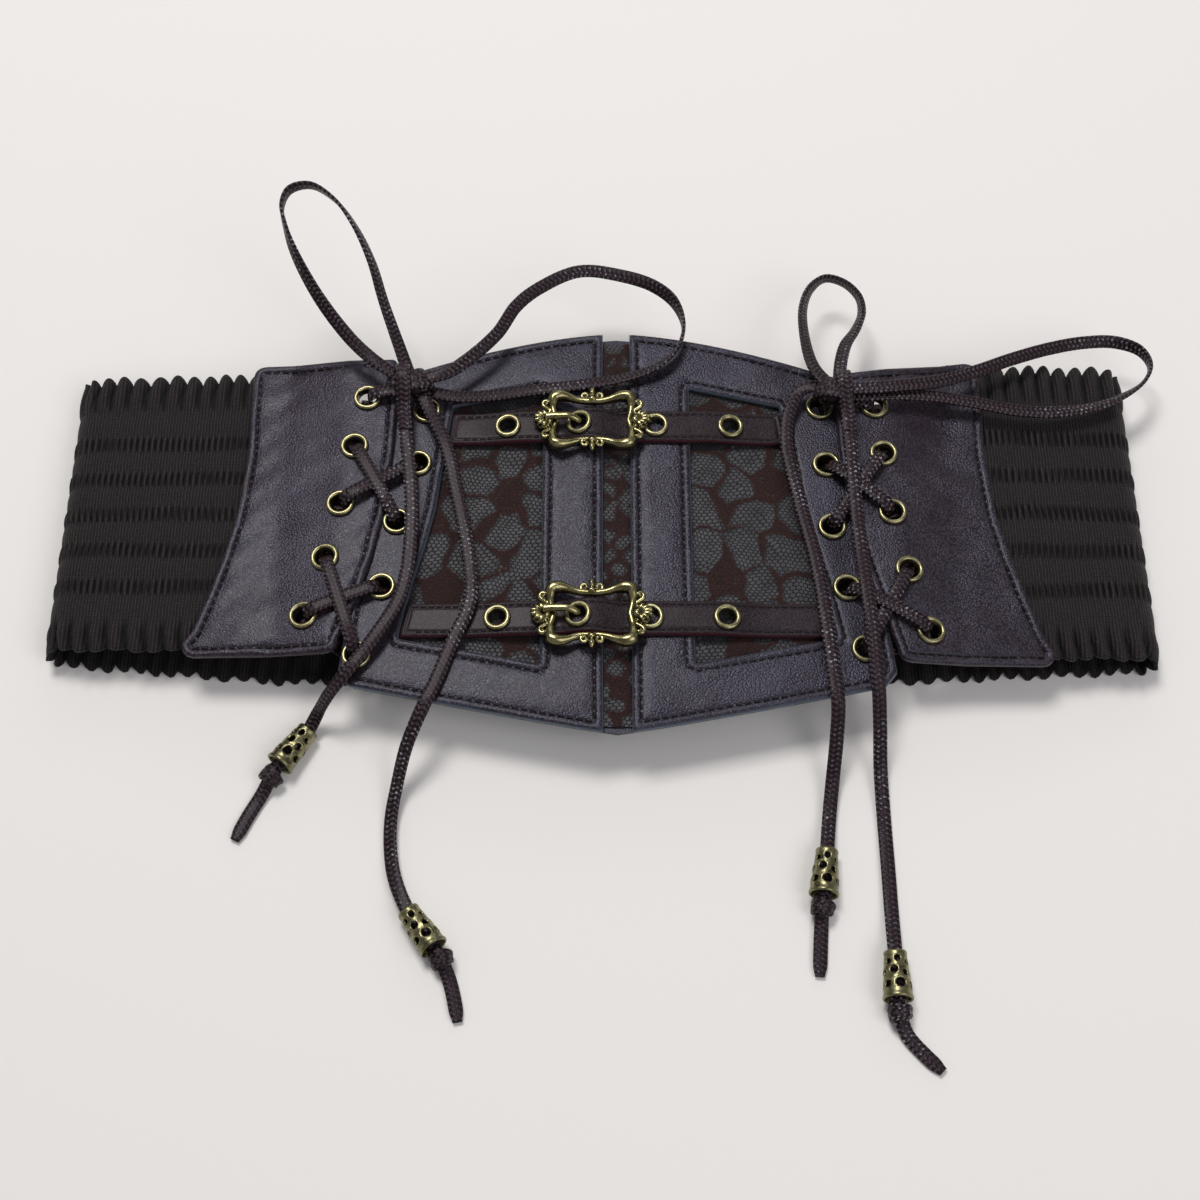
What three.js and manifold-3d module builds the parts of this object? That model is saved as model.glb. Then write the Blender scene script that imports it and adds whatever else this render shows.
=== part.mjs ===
// Corset belt that lies on its back: a shirred elastic band, laced leather panels with lace
// windows, two buckled straps and two tied laces with pierced metal beads.
// Millimetres. X runs along the belt, Y up the wearer, Z out of the surface it lies on.
import * as THREE from "three";
import { mergeVertices } from "three/addons/utils/BufferGeometryUtils.js";
import Module from "manifold-3d";

const wasm = await Module();
wasm.setup();

// Space between pieces that lie on each other
const GAP = 0.3;

// Belt as it lies
const FLAT_WIDTH = 369;
const FOLD_HEIGHT = 13;
const CROWN_RISE = 3.8;
const FRONT_SHIFT = 5;

// Elastic band
const ELASTIC_HEIGHT = 110;
const ELASTIC_WALL = 1.8;
const TOP_RUFFLE = 15.5;
const LOW_RUFFLE = 11.5;
const RUFFLE_WALL = 1.2;
const RUFFLE_DEPTH = 2.6;
const RUFFLE_PITCH = 14;
const GATHERS = 5;
const GATHER_PITCH = 14.2;
const GATHER_HEIGHT = 6.9;
const GATHER_DEPTH = 0.5;
const TOP_BAND = 9.8;

// Leather and lace
const BASE_WALL = 1.2;
const LACE_WALL = 1;
const FRAME_WALL = 1.6;
const OUTER_WALL = 1.8;
const STRAP_WALL = 1.8;
const PANEL_UP = 76;
const PANEL_DOWN = 76.5;
const PANEL_REACH = 92.5;
const STRIP_WIDTH = 9.4;
const LACED_BORDER = 20.8;
const WINDOW_REACH = PANEL_REACH - LACED_BORDER;
const WINDOW_INNER = 25.3;
const WINDOW_UP = 53;
const WINDOW_DOWN = 52;
const LACE_MARGIN = 3;
const BASE_INSET = 1;
const OUTER_REACH = 143;
const OUTER_FALL = 20.5;
const OUTER_CORNER = 5;
const FRAME_CORNER = 4;

// Straps and buckles
const STRAP_ROW = 36.5;
const STRAP_WIDTH = 12.2;
const STRAP_ARCH = 2.6;
const BUCKLE_WIDTH = 28.8;
const BUCKLE_HEIGHT = 21.6;
const BUCKLE_BAR = 2.3;
const BUCKLE_THICKNESS = 2.8;
const BUCKLE_SHIFT = -3.8;
const CAST_THICKNESS = 1.4;
const PRONG_DIAMETER = 1.8;

// Eyelets
const LACE_EYELET = { hole: 6.4, outer: 9.8, rise: 1.2 };
const STRAP_EYELET = { hole: 5.6, outer: 9.2, rise: 1.1 };
const EYELET_WALL = 0.5;

// Laces and beads
const CORD_WIDTH = 4.6;
const CORD_THICKNESS = 1.4;
const BOW_KNOT = { width: 13, height: 9.6, depth: 8 };
const END_KNOT = 6.4;
const BEAD_LENGTH = 15;
const BEAD_SMALL = 6.9;
const BEAD_LARGE = 9.2;
const BEAD_WALL = 0.8;
const BEAD_HOLE = 2.4;

const SIDES_ROUND = { eyelet: 8, cut: 8, bead: 8, bore: 4, core: 4 };

// Share of the elastic's way round from the right front end, with how far its middle lies up
// the belt and how tall it is there, as shares of its height
const ELASTIC_DRIFT = [
  { way: 0, middle: 0.075, height: 1.04 },
  { way: 0.14, middle: 0.08, height: 1.03 },
  { way: 0.3, middle: 0.03, height: 1 },
  { way: 0.7, middle: 0.03, height: 1 },
  { way: 0.86, middle: 0.075, height: 0.96 },
  { way: 1, middle: 0.065, height: 0.98 },
];

// Side edges of an outer panel: height as a share of PANEL_UP, and the distance from the
// front's middle of the laced edge as a share of PANEL_REACH and of the far edge as a share of
// OUTER_REACH
const OUTER_EDGES = [
  { up: 0.83, laced: 0.8317, far: 0.893 },
  { up: 0.59, laced: 0.8209, far: 0.893 },
  { up: 0.37, laced: 0.8255, far: 0.888 },
  { up: 0.05, laced: 0.8472, far: 0.901 },
  { up: -0.18, laced: 0.8812, far: 0.926 },
  { up: -0.36, laced: 0.9183, far: 0.952 },
  { up: -0.53, laced: 0.9662, far: 0.98 },
  { up: -0.65, laced: 0.9848, far: 1 },
];

// Outer edge of a window: height as a share of WINDOW_UP, reach as a share of WINDOW_REACH
const WINDOW_EDGES = [
  { up: 0.86, reach: 0.79 },
  { up: 0.62, reach: 0.81 },
  { up: 0.36, reach: 0.833 },
  { up: 0.09, reach: 0.855 },
  { up: -0.19, reach: 0.9 },
  { up: -0.45, reach: 0.95 },
  { up: -0.81, reach: 1 },
];

// The two sides of the front, and whether the lace that falls towards the middle lies on top
// where two cross. Eyelet columns: height as a share of PANEL_UP and distance from the front's
// middle as a share of PANEL_REACH. The other lengths are shares of PANEL_UP.
const SIDES = [
  {
    name: "left",
    hand: -1,
    fallingOnTop: true,
    topLaced: 0.845,
    topFar: 0.835,
    low: -0.64,
    outerEyelets: [
      { up: 0.628, out: 0.934 },
      { up: 0.374, out: 0.971 },
      { up: 0.079, out: 1.008 },
      { up: -0.186, out: 1.051 },
      { up: -0.462, out: 1.114 },
    ],
    innerEyelets: [
      { up: 0.572, out: 0.711 },
      { up: 0.297, out: 0.735 },
      { up: 0, out: 0.801 },
      { up: -0.321, out: 0.844 },
      { up: -0.646, out: 0.918 },
    ],
  },
  {
    name: "right",
    hand: 1,
    fallingOnTop: false,
    topLaced: 0.765,
    topFar: 0.855,
    low: -0.68,
    outerEyelets: [
      { up: 0.586, out: 0.966 },
      { up: 0.337, out: 0.986 },
      { up: 0.038, out: 1.002 },
      { up: -0.245, out: 1.046 },
      { up: -0.534, out: 1.106 },
    ],
    innerEyelets: [
      { up: 0.593, out: 0.762 },
      { up: 0.292, out: 0.774 },
      { up: -0.025, out: 0.782 },
      { up: -0.326, out: 0.822 },
      { up: -0.617, out: 0.874 },
    ],
  },
];

// The two straps, with the places of their eyelets along X as shares of FLAT_WIDTH
const STRAPS = [
  { name: "upper", side: 1, eyelets: [-0.088, -0.0215, 0.0496, 0.1198] },
  { name: "lower", side: -1, eyelets: [-0.0932, -0.0215, 0.0425, 0.1108] },
];

// Middles of the bow knots
const KNOTS = {
  left: [-65, 50, 25.6],
  right: [80, 46.5, 26.4],
};

// Routes of the free laces: X, Y, Z and the lean of the flat lace about its run in degrees
const LOOPS = [
  {
    name: "left_bow_loop_tall",
    knot: "left",
    route: [
      [-66, 52, 25.4, 0],
      [-69.6, 62, 27.6, 20],
      [-76, 78.5, 35.2, 40],
      [-80, 90, 42.5, 50],
      [-85.5, 99.5, 50, 60],
      [-92, 106, 56, 70],
      [-100, 109, 60, 80],
      [-107, 107, 60, 90],
      [-109.5, 102, 58, 90],
      [-108.5, 96, 54, 80],
      [-105.5, 89, 47.5, 60],
      [-97.5, 77, 38.5, 40],
      [-86, 63.6, 32.4, 20],
      [-77, 56, 30.2, 0],
      [-70, 52, 28.6, 0],
    ],
  },
  {
    name: "left_bow_loop_long",
    knot: "left",
    route: [
      [-62, 51.5, 27.8, 0],
      [-53.5, 53.5, 28.5, 15],
      [-46.5, 58.5, 29, 25],
      [-36.5, 69, 29.5, 30],
      [-30, 81, 29, 25],
      [-22, 89, 28.5, 20],
      [-8, 96.5, 28, 15],
      [7, 95.3, 27, 20],
      [18.5, 91.5, 26, 40],
      [25.5, 85.5, 25, 60],
      [28.7, 77, 24, 85],
      [27.7, 69.5, 24, 85],
      [24, 63.5, 23.5, 60],
      [17, 58.7, 22.5, 35],
      [6, 55.4, 21.6, 15],
      [-9, 53, 21.2, 5],
      [-24, 51, 21.2, 0],
      [-38, 48.5, 21.8, 0],
      [-50, 47.2, 23, 0],
      [-62, 49, 24.2, 0],
    ],
  },
  {
    name: "right_bow_loop_short",
    knot: "right",
    route: [
      [77.5, 49, 28.6, 0],
      [73.5, 56, 27.6, 10],
      [71.5, 68.5, 24.5, 30],
      [72, 87, 19.5, 50],
      [76, 98, 16.5, 70],
      [81.5, 102.6, 15.5, 90],
      [87.8, 100.5, 15.5, 90],
      [92.4, 94, 16.5, 80],
      [93, 86, 18, 60],
      [90, 77, 20.5, 40],
      [85.6, 68.5, 23.4, 20],
      [83, 59, 26.4, 10],
      [81.5, 49, 28.6, 0],
    ],
  },
  {
    name: "right_bow_loop_long",
    knot: "right",
    route: [
      [82, 47, 28.4, 0],
      [92, 47.6, 28.2, 0],
      [104, 49, 27.6, 5],
      [117, 51.5, 26.4, 15],
      [130, 56.5, 24.6, 20],
      [143.5, 63, 22.4, 20],
      [157.5, 68.8, 20.2, 20],
      [171, 72.8, 18.2, 30],
      [183, 74, 16.6, 50],
      [191.5, 71, 15.6, 75],
      [194.3, 65, 15.4, 90],
      [191.5, 58.5, 15.8, 80],
      [184, 52.3, 16.6, 50],
      [172, 46.2, 18.4, 25],
      [158, 43, 19.8, 5],
      [144, 42.8, 21, 0],
      [129, 45, 22.6, 0],
      [114, 46.6, 24.4, 0],
      [98, 46.4, 25.6, 0],
      [82, 45.6, 26, 0],
    ],
  },
];

// Each tail runs through its bead, which starts at the point numbered bead
const TAILS = [
  {
    name: "left_tail_outer",
    knot: "left",
    bead: 12,
    route: [
      [-67, 49, 25.6, 0],
      [-68, 42, 24.6, 0],
      [-66.8, 29.4, 24.4, 0],
      [-64.8, 14, 24.2, 0],
      [-63.8, -1.4, 23.6, 0],
      [-64.3, -19.9, 23.4, 0],
      [-66.6, -31, 23.6, 0],
      [-71, -40, 23.8, 0],
      [-76.8, -49, 23, 0],
      [-83.6, -57.6, 21.2, 0],
      [-89.6, -62, 13.5, 0],
      [-93.4, -65, 6.4, 0],
      [-96.2, -69.2, 3.7, 0],
      [-100.6, -75.6, 4.2, 0],
      [-104.9, -81.9, 4.8, 0],
      [-107, -85, 3.6, 0],
      [-110, -90.4, 1.2, 0],
      [-114, -98, 0.9, 0],
      [-117.6, -106, 0.9, 0],
    ],
  },
  {
    name: "left_tail_inner",
    knot: "left",
    bead: 15,
    route: [
      [-62.5, 48, 25.6, 0],
      [-60, 42, 24.8, 0],
      [-53.5, 28.4, 22.4, 0],
      [-49.3, 11, 21.2, 0],
      [-46, -4.4, 21, 0],
      [-43.6, -20, 21.2, 0],
      [-43.6, -32, 21.6, 0],
      [-48.6, -44.9, 21, 0],
      [-53.2, -58, 20.8, 0],
      [-57.6, -68.5, 20.4, 0],
      [-62.6, -78.6, 14, 10],
      [-66, -88.5, 5.4, 20],
      [-67.8, -99, 2, 20],
      [-67.4, -110, 1.8, 20],
      [-65.4, -119.5, 2.6, 10],
      [-60.8, -129.8, 3.7, 0],
      [-56.4, -135.9, 4.2, 0],
      [-52, -142, 4.8, 0],
      [-50, -145, 3.6, 0],
      [-47.4, -150.6, 1.2, 0],
      [-45.6, -157, 0.9, 0],
      [-44.2, -164, 0.9, 0],
    ],
  },
  {
    name: "right_tail_inner",
    knot: "right",
    bead: 16,
    route: [
      [77, 48.2, 26, 0],
      [71.5, 49.6, 25.6, 0],
      [67.6, 47.4, 24.4, 0],
      [65, 42.4, 22.8, 0],
      [63.6, 36, 21.8, 0],
      [63.4, 28, 21.2, 0],
      [64.6, 20, 20.9, 0],
      [67.6, 2.8, 20.8, 0],
      [70.8, -13.5, 20.8, 0],
      [72.6, -28.2, 20.8, 0],
      [73.9, -43, 20.8, 0],
      [74.9, -57, 20.6, 0],
      [75.6, -66, 19.9, 0],
      [75.4, -76, 12, 0],
      [74.4, -87, 4, 0],
      [73, -98, 2, 0],
      [71.4, -110.2, 3.7, 0],
      [70.4, -117.6, 4.2, 0],
      [69.4, -125, 4.8, 0],
      [68.9, -128.6, 3.6, 0],
      [68.5, -134.6, 1.2, 0],
      [67.9, -142, 0.9, 0],
      [67.3, -150, 0.9, 0],
    ],
  },
  {
    name: "right_tail_outer",
    knot: "right",
    bead: 15,
    route: [
      [82.6, 44.5, 26.6, 0],
      [84, 38, 26.4, 0],
      [84.4, 28, 26.2, 0],
      [84.6, 14, 26.2, 0],
      [85, 0, 25.4, 0],
      [85.6, -14, 25.4, 0],
      [86.4, -28, 26.2, 0],
      [87.2, -40, 25.8, 0],
      [88, -52, 23.2, 0],
      [88.8, -62, 20.4, 0],
      [89.6, -72, 12.6, 0],
      [90.2, -83, 4, 0],
      [90.6, -96, 1, 0],
      [90.8, -115, 0.9, 0],
      [90.8, -130, 1.4, 0],
      [90.6, -143, 3.7, 0],
      [90.5, -150.5, 4.2, 0],
      [90.4, -158, 4.8, 0],
      [90.6, -161.6, 3.6, 0],
      [93, -168, 1.2, 0],
      [97.6, -173.6, 0.9, 0],
      [103, -179, 0.9, 0],
    ],
  },
];

const LEATHER = { color: 0x352a31, roughness: 0.45, metalness: 0 };
const BACKING = { color: 0x3d4250, roughness: 0.5, metalness: 0 };
const LACE = { color: 0x3a1c1c, roughness: 0.8, metalness: 0 };
const ELASTIC = { color: 0x171314, roughness: 0.85, metalness: 0 };
const WAXED = { color: 0x231a1b, roughness: 0.4, metalness: 0 };
const BRASS = { color: 0x8f8450, roughness: 0.35, metalness: 1 };

const belt = new THREE.Group();

// Turns a closed geometry into a solid whose faces point out
function solid(geometry) {
  const bare = geometry.clone();
  bare.deleteAttribute("normal");
  bare.deleteAttribute("uv");
  const merged = mergeVertices(bare, 1e-3);
  const made = (index) =>
    new wasm.Manifold(
      new wasm.Mesh({
        numProp: 3,
        vertProperties: merged.attributes.position.array,
        triVerts: new Uint32Array(index),
      }),
    );
  const index = Array.from(merged.index.array);
  const first = made(index);
  return first.volume() > 0 ? first : made(index.reverse());
}

// Turns a solid back into a geometry
function geometryOf(body) {
  const mesh = body.getMesh();
  const geometry = new THREE.BufferGeometry();
  const position = new THREE.BufferAttribute(Float32Array.from(mesh.vertProperties), 3);
  geometry.setAttribute("position", position);
  geometry.setIndex(Array.from(mesh.triVerts));
  geometry.computeVertexNormals();
  return geometry;
}

// Adds a named piece to the belt
function add(name, body, finish) {
  const geometry = body.isBufferGeometry ? body : geometryOf(body);
  const mesh = new THREE.Mesh(geometry, new THREE.MeshStandardMaterial(finish));
  mesh.name = name;
  belt.add(mesh);
  return mesh;
}

// Reads a table between its rows
function between(rows, key, value, wanted) {
  const rising = rows[rows.length - 1][key] > rows[0][key];
  const sorted = rising ? rows : [...rows].reverse();
  if (value <= sorted[0][key]) return sorted[0][wanted];
  for (let i = 1; i < sorted.length; i += 1) {
    const low = sorted[i - 1];
    const high = sorted[i];
    if (value <= high[key]) {
      const share = (value - low[key]) / (high[key] - low[key]);
      return THREE.MathUtils.lerp(low[wanted], high[wanted], share);
    }
  }
  return sorted[sorted.length - 1][wanted];
}

// Heights of the front

const FOLD_RADIUS = FOLD_HEIGHT / 2;
const FOLD_X = FLAT_WIDTH / 2 - FOLD_RADIUS;
const LACE_OFFSET = BASE_WALL + GAP;
const FRAME_OFFSET = LACE_OFFSET + LACE_WALL + GAP;
const STRAP_OFFSET = FRAME_OFFSET + FRAME_WALL + GAP;
const BUCKLE_OFFSET = STRAP_OFFSET + STRAP_WALL + GAP;
const ELASTIC_SEAT = ELASTIC_WALL + GAP;

// Underside of the front, which bows up between the folds
function under(x) {
  const share = Math.min(Math.abs(x) / FOLD_X, 1);
  return FOLD_HEIGHT - ELASTIC_WALL + CROWN_RISE * (1 - share ** 2.5);
}

const reach = (x) => Math.abs(x - FRONT_SHIFT);

// Where an outer panel comes down from the frame's margin onto the elastic
const RAMP = { from: PANEL_REACH + 1, to: PANEL_REACH + 1 + OUTER_FALL };

// Where the elastic ends under the outer panels
const ELASTIC_END = RAMP.to + 1;

// Underside of an outer panel
function outerUnder(x) {
  const share = THREE.MathUtils.clamp((reach(x) - RAMP.from) / (RAMP.to - RAMP.from), 0, 1);
  return under(x) + THREE.MathUtils.lerp(STRAP_OFFSET, ELASTIC_SEAT, share);
}

// Half the length of a strap's arch inside its buckle
const ARCH_REACH = BUCKLE_WIDTH * 0.39;

// Where a strap leaves a frame's inner border and where it has come down to the lace
const STRAP_FALL = { from: WINDOW_INNER + 4, to: WINDOW_REACH * 0.72 };

// Underside of a strap
function strapUnder(x) {
  const share = THREE.MathUtils.smoothstep(reach(x), STRAP_FALL.from, STRAP_FALL.to);
  const arched = Math.max(0, 1 - ((x - BUCKLE_SHIFT) / ARCH_REACH) ** 2);
  const offset = THREE.MathUtils.lerp(STRAP_OFFSET, FRAME_OFFSET, share);
  return under(x) + offset + STRAP_ARCH * arched ** 2;
}

const SHEET_TALL = 2 * (PANEL_UP + PANEL_DOWN);
const CUT_HEIGHT = 2 * (FOLD_HEIGHT + CROWN_RISE + BUCKLE_OFFSET);

// A sheet of even wall whose underside follows a height function
function bentSheet(low, wall, places) {
  const steps = places.length - 1;
  const geometry = new THREE.BoxGeometry(1, SHEET_TALL, wall, steps, 1, 1);
  const position = geometry.attributes.position;
  for (let i = 0; i < position.count; i += 1) {
    const x = places[Math.round((position.getX(i) + 0.5) * steps)];
    const lift = position.getZ(i) > 0 ? wall : 0;
    position.setX(i, x);
    position.setZ(i, low(x) + lift);
  }
  return solid(geometry);
}

// Even places from one X to another
function evenly(from, to, steps) {
  return Array.from({ length: steps + 1 }, (_, i) => THREE.MathUtils.lerp(from, to, i / steps));
}

// Puts the points of a closed outline in the wanted turning order
function turned(points, clockwise) {
  return THREE.ShapeUtils.isClockWise(points) === clockwise ? points : [...points].reverse();
}

// Block of an outline, tall enough to cut any sheet of the front
function block(outline) {
  const shape = new THREE.Shape(turned(outline, false));
  return solid(new THREE.ExtrudeGeometry(shape, { depth: CUT_HEIGHT, bevelEnabled: false }));
}

// Cuts a sheet to an outline, with holes
function cutTo(sheet, outline, holes = []) {
  return holes.reduce((rest, points) => rest.subtract(block(points)), sheet.intersect(block(outline)));
}

const mirror = (side, out, y) => new THREE.Vector2(FRONT_SHIFT + side.hand * out, y);

// Closed ring of points for a round hole
function ring(centre, radius, count = SIDES_ROUND.cut) {
  const turn = (i) => ((i + 0.5) / count) * Math.PI * 2;
  return Array.from(
    { length: count },
    (_, i) =>
      new THREE.Vector2(
        centre.x + Math.cos(turn(i)) * radius,
        centre.y + Math.sin(turn(i)) * radius,
      ),
  );
}

const barrel = (kind) => kind.hole / 2 + EYELET_WALL;
const seatHole = (kind) => (barrel(kind) + GAP / 2) / Math.cos(Math.PI / SIDES_ROUND.cut);

// Front edges: how high and how low the front reaches at a distance from its middle, and how
// far its laced edge is at a height
const TOP_FALL = 0.3246;
const LOW_FALL = 0.234;
const END_LEAN = 0.082;
const END_SHARE = 0.76;
const frontTop = (out) => PANEL_UP * (1 - TOP_FALL * (out / PANEL_REACH) ** 1.6);
const frontLow = (out) => -PANEL_DOWN * (1 - LOW_FALL * (out / PANEL_REACH) ** 1.1);
const frontEnd = (y) => PANEL_REACH * (1 - END_LEAN * (1 + y / PANEL_DOWN));

// Outline of a front frame from the middle strip to its laced edge
function frontOutline(side, from, inset) {
  const corner = FRAME_CORNER;
  const steps = 6;
  const high = [];
  const low = [];
  const topEnd = frontEnd(PANEL_UP * END_SHARE) - inset;
  const lowEnd = frontEnd(-PANEL_DOWN * END_SHARE) - inset;
  for (let i = 0; i <= steps; i += 1) {
    const topOut = THREE.MathUtils.lerp(from, topEnd - corner, i / steps);
    const lowOut = THREE.MathUtils.lerp(from, lowEnd - corner, i / steps);
    high.push(mirror(side, topOut, frontTop(topOut) - inset));
    low.push(mirror(side, lowOut, frontLow(lowOut) + inset));
  }
  high.push(mirror(side, topEnd, frontTop(topEnd) - inset - corner));
  low.push(mirror(side, lowEnd, frontLow(lowEnd) + inset + corner));
  return [...high, ...low.reverse()];
}

const windowOut = (y) => WINDOW_REACH * between(WINDOW_EDGES, "up", y / WINDOW_UP, "reach");

// Outline of a window, or of what lies behind it when it is grown
function windowOutline(side, grow) {
  const outer = WINDOW_EDGES.map((row) =>
    mirror(side, WINDOW_REACH * row.reach + grow, WINDOW_UP * row.up),
  );
  outer[0].y += grow;
  outer[outer.length - 1].y -= grow;
  return [
    mirror(side, WINDOW_INNER - grow, WINDOW_UP + grow),
    ...outer,
    mirror(side, WINDOW_INNER - grow, -WINDOW_DOWN - grow),
  ];
}

const outerHoles = (side) =>
  side.outerEyelets.map((row) => mirror(side, PANEL_REACH * row.out, PANEL_UP * row.up));
const innerHoles = (side) =>
  side.innerEyelets.map((row) => mirror(side, PANEL_REACH * row.out, PANEL_UP * row.up));

// Elastic band

const FRONT_RUN = {
  right: FOLD_X - (FRONT_SHIFT + ELASTIC_END),
  left: FOLD_X - (ELASTIC_END - FRONT_SHIFT),
};
const FOLD_RUN = Math.PI * FOLD_RADIUS;
const BACK_RUN = 2 * FOLD_X;
const BAND_RUN = FRONT_RUN.right + FRONT_RUN.left + 2 * FOLD_RUN + BACK_RUN;

// Point and outward direction on the band's outer face, from the right front end round the back
function bandPoint(way) {
  let rest = way;
  if (rest < FRONT_RUN.right) {
    const x = FOLD_X - FRONT_RUN.right + rest;
    return { x, z: under(x) + ELASTIC_WALL, outX: 0, outZ: 1 };
  }
  rest -= FRONT_RUN.right;
  if (rest < FOLD_RUN) {
    const turn = rest / FOLD_RADIUS;
    const outX = Math.sin(turn);
    const outZ = Math.cos(turn);
    return {
      x: FOLD_X + FOLD_RADIUS * outX,
      z: FOLD_RADIUS * (1 + outZ),
      outX,
      outZ,
    };
  }
  rest -= FOLD_RUN;
  if (rest < BACK_RUN) {
    return { x: FOLD_X - rest, z: 0, outX: 0, outZ: -1 };
  }
  rest -= BACK_RUN;
  if (rest < FOLD_RUN) {
    const turn = rest / FOLD_RADIUS;
    const outX = -Math.sin(turn);
    const outZ = -Math.cos(turn);
    return {
      x: -FOLD_X + FOLD_RADIUS * outX,
      z: FOLD_RADIUS * (1 + outZ),
      outX,
      outZ,
    };
  }
  rest -= FOLD_RUN;
  const x = -FOLD_X + rest;
  return { x, z: under(x) + ELASTIC_WALL, outX: 0, outZ: 1 };
}

// Puts a point of the flat band in its place: way round, height and depth below the outer face
function onBand(way, height, depth) {
  const point = bandPoint(THREE.MathUtils.clamp(way, 0, BAND_RUN));
  const share = way / BAND_RUN;
  const scale = between(ELASTIC_DRIFT, "way", share, "height");
  const middle = ELASTIC_HEIGHT * between(ELASTIC_DRIFT, "way", share, "middle");
  return new THREE.Vector3(
    point.x - point.outX * depth,
    middle + height * scale,
    point.z - point.outZ * depth,
  );
}

// Places along the band where its body is divided: few on the flats, more round the folds
function bodyWays() {
  const stretches = [
    { run: FRONT_RUN.right, steps: 2 },
    { run: FOLD_RUN, steps: 5 },
    { run: BACK_RUN, steps: 3 },
    { run: FOLD_RUN, steps: 5 },
    { run: FRONT_RUN.left, steps: 2 },
  ];
  const ways = [0];
  let start = 0;
  stretches.forEach(({ run, steps }) => {
    for (let i = 1; i <= steps; i += 1) ways.push(start + (run * i) / steps);
    start += run;
  });
  return ways;
}

// Rows of the body from low to high, each with its depth below the outer face
function bodyRows() {
  const high = ELASTIC_HEIGHT / 2 - TOP_RUFFLE;
  const rows = [{ height: high, depth: 0 }];
  for (let i = 0; i < GATHERS; i += 1) {
    const top = high - TOP_BAND - i * GATHER_PITCH;
    rows.push({ height: top, depth: 0 });
    rows.push({ height: top - GATHER_HEIGHT / 2, depth: GATHER_DEPTH });
    rows.push({ height: top - GATHER_HEIGHT, depth: 0 });
  }
  rows.push({ height: -ELASTIC_HEIGHT / 2 + LOW_RUFFLE, depth: 0 });
  return rows.reverse();
}

function bandBody() {
  const ways = bodyWays();
  const rows = bodyRows();
  const geometry = new THREE.BoxGeometry(1, 1, 1, ways.length - 1, rows.length - 1, 1);
  const position = geometry.attributes.position;
  for (let i = 0; i < position.count; i += 1) {
    const way = ways[Math.round((position.getX(i) + 0.5) * (ways.length - 1))];
    const row = rows[Math.round((position.getY(i) + 0.5) * (rows.length - 1))];
    const depth = position.getZ(i) > 0 ? row.depth : ELASTIC_WALL;
    const place = onBand(way, row.height, depth);
    position.setXYZ(i, place.x, place.y, place.z);
  }
  return solid(geometry);
}

// A ruffle: pleats that swing inward from the outer face, deepest at the free edge
function ruffle(root, edge) {
  const steps = 2 * Math.round(BAND_RUN / RUFFLE_PITCH);
  const geometry = new THREE.BoxGeometry(1, 1, 1, steps, 1, 1);
  const position = geometry.attributes.position;
  for (let i = 0; i < position.count; i += 1) {
    const step = Math.round((position.getX(i) + 0.5) * steps);
    const way = (BAND_RUN * step) / steps;
    const free = position.getY(i) > 0 === edge > root;
    const pleat = step % 2 === 1 && free ? RUFFLE_DEPTH : 0;
    const seat = free ? 0 : (ELASTIC_WALL - RUFFLE_WALL) / 2;
    const depth = seat + pleat + (position.getZ(i) > 0 ? 0 : RUFFLE_WALL);
    const sunk = edge > root ? root - ELASTIC_WALL : root + ELASTIC_WALL;
    const dip = step % 2 === 1 ? RUFFLE_DEPTH * 0.3 : 0;
    const tip = edge > root ? edge - dip : edge + dip;
    const place = onBand(way, free ? tip : sunk, depth);
    position.setXYZ(i, place.x, place.y, place.z);
  }
  return solid(geometry);
}

const halfBand = ELASTIC_HEIGHT / 2;
add(
  "elastic_band",
  bandBody()
    .add(ruffle(halfBand - TOP_RUFFLE, halfBand))
    .add(ruffle(-halfBand + LOW_RUFFLE, -halfBand)),
  ELASTIC,
);

// Leather panels and lace

const stripEdge = STRIP_WIDTH / 2;
const [leftSide, rightSide] = SIDES;

function addFront() {
  const low = FRONT_SHIFT - PANEL_REACH;
  const high = FRONT_SHIFT + PANEL_REACH;
  const places = evenly(low, high, 6);
  const baseSheet = bentSheet(under, BASE_WALL, places);
  const baseOutline = [
    ...frontOutline(leftSide, 0, BASE_INSET).reverse(),
    ...frontOutline(rightSide, 0, BASE_INSET),
  ];
  const baseHoles = SIDES.flatMap((side) =>
    innerHoles(side).map((centre) => ring(centre, seatHole(LACE_EYELET))),
  );
  add("front_backing", cutTo(baseSheet, baseOutline, baseHoles), BACKING);

  const laceSheet = bentSheet((x) => under(x) + LACE_OFFSET, LACE_WALL, places);
  const grown = (side) => windowOutline(side, LACE_MARGIN).slice(1, -1);
  const laceOutline = [
    ...grown(leftSide).reverse(),
    mirror(leftSide, stripEdge, PANEL_UP - LACE_MARGIN),
    mirror(rightSide, stripEdge, PANEL_UP - LACE_MARGIN),
    ...grown(rightSide),
    mirror(rightSide, stripEdge, LACE_MARGIN - PANEL_DOWN),
    mirror(leftSide, stripEdge, LACE_MARGIN - PANEL_DOWN),
  ];
  add("lace_panel", cutTo(laceSheet, laceOutline), LACE);
}
addFront();

function addFrame(side) {
  const low = FRONT_SHIFT - PANEL_REACH;
  const high = FRONT_SHIFT + PANEL_REACH;
  const places = evenly(low, high, 6).filter((x) => (x - FRONT_SHIFT) * side.hand > -0.001);
  const sheet = bentSheet((x) => under(x) + FRAME_OFFSET, FRAME_WALL, places);
  const holes = innerHoles(side).map((centre) => ring(centre, seatHole(LACE_EYELET)));
  const cut = [windowOutline(side, 0), ...holes];
  add(`${side.name}_front_frame`, cutTo(sheet, frontOutline(side, stripEdge, 0), cut), LEATHER);
}

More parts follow.
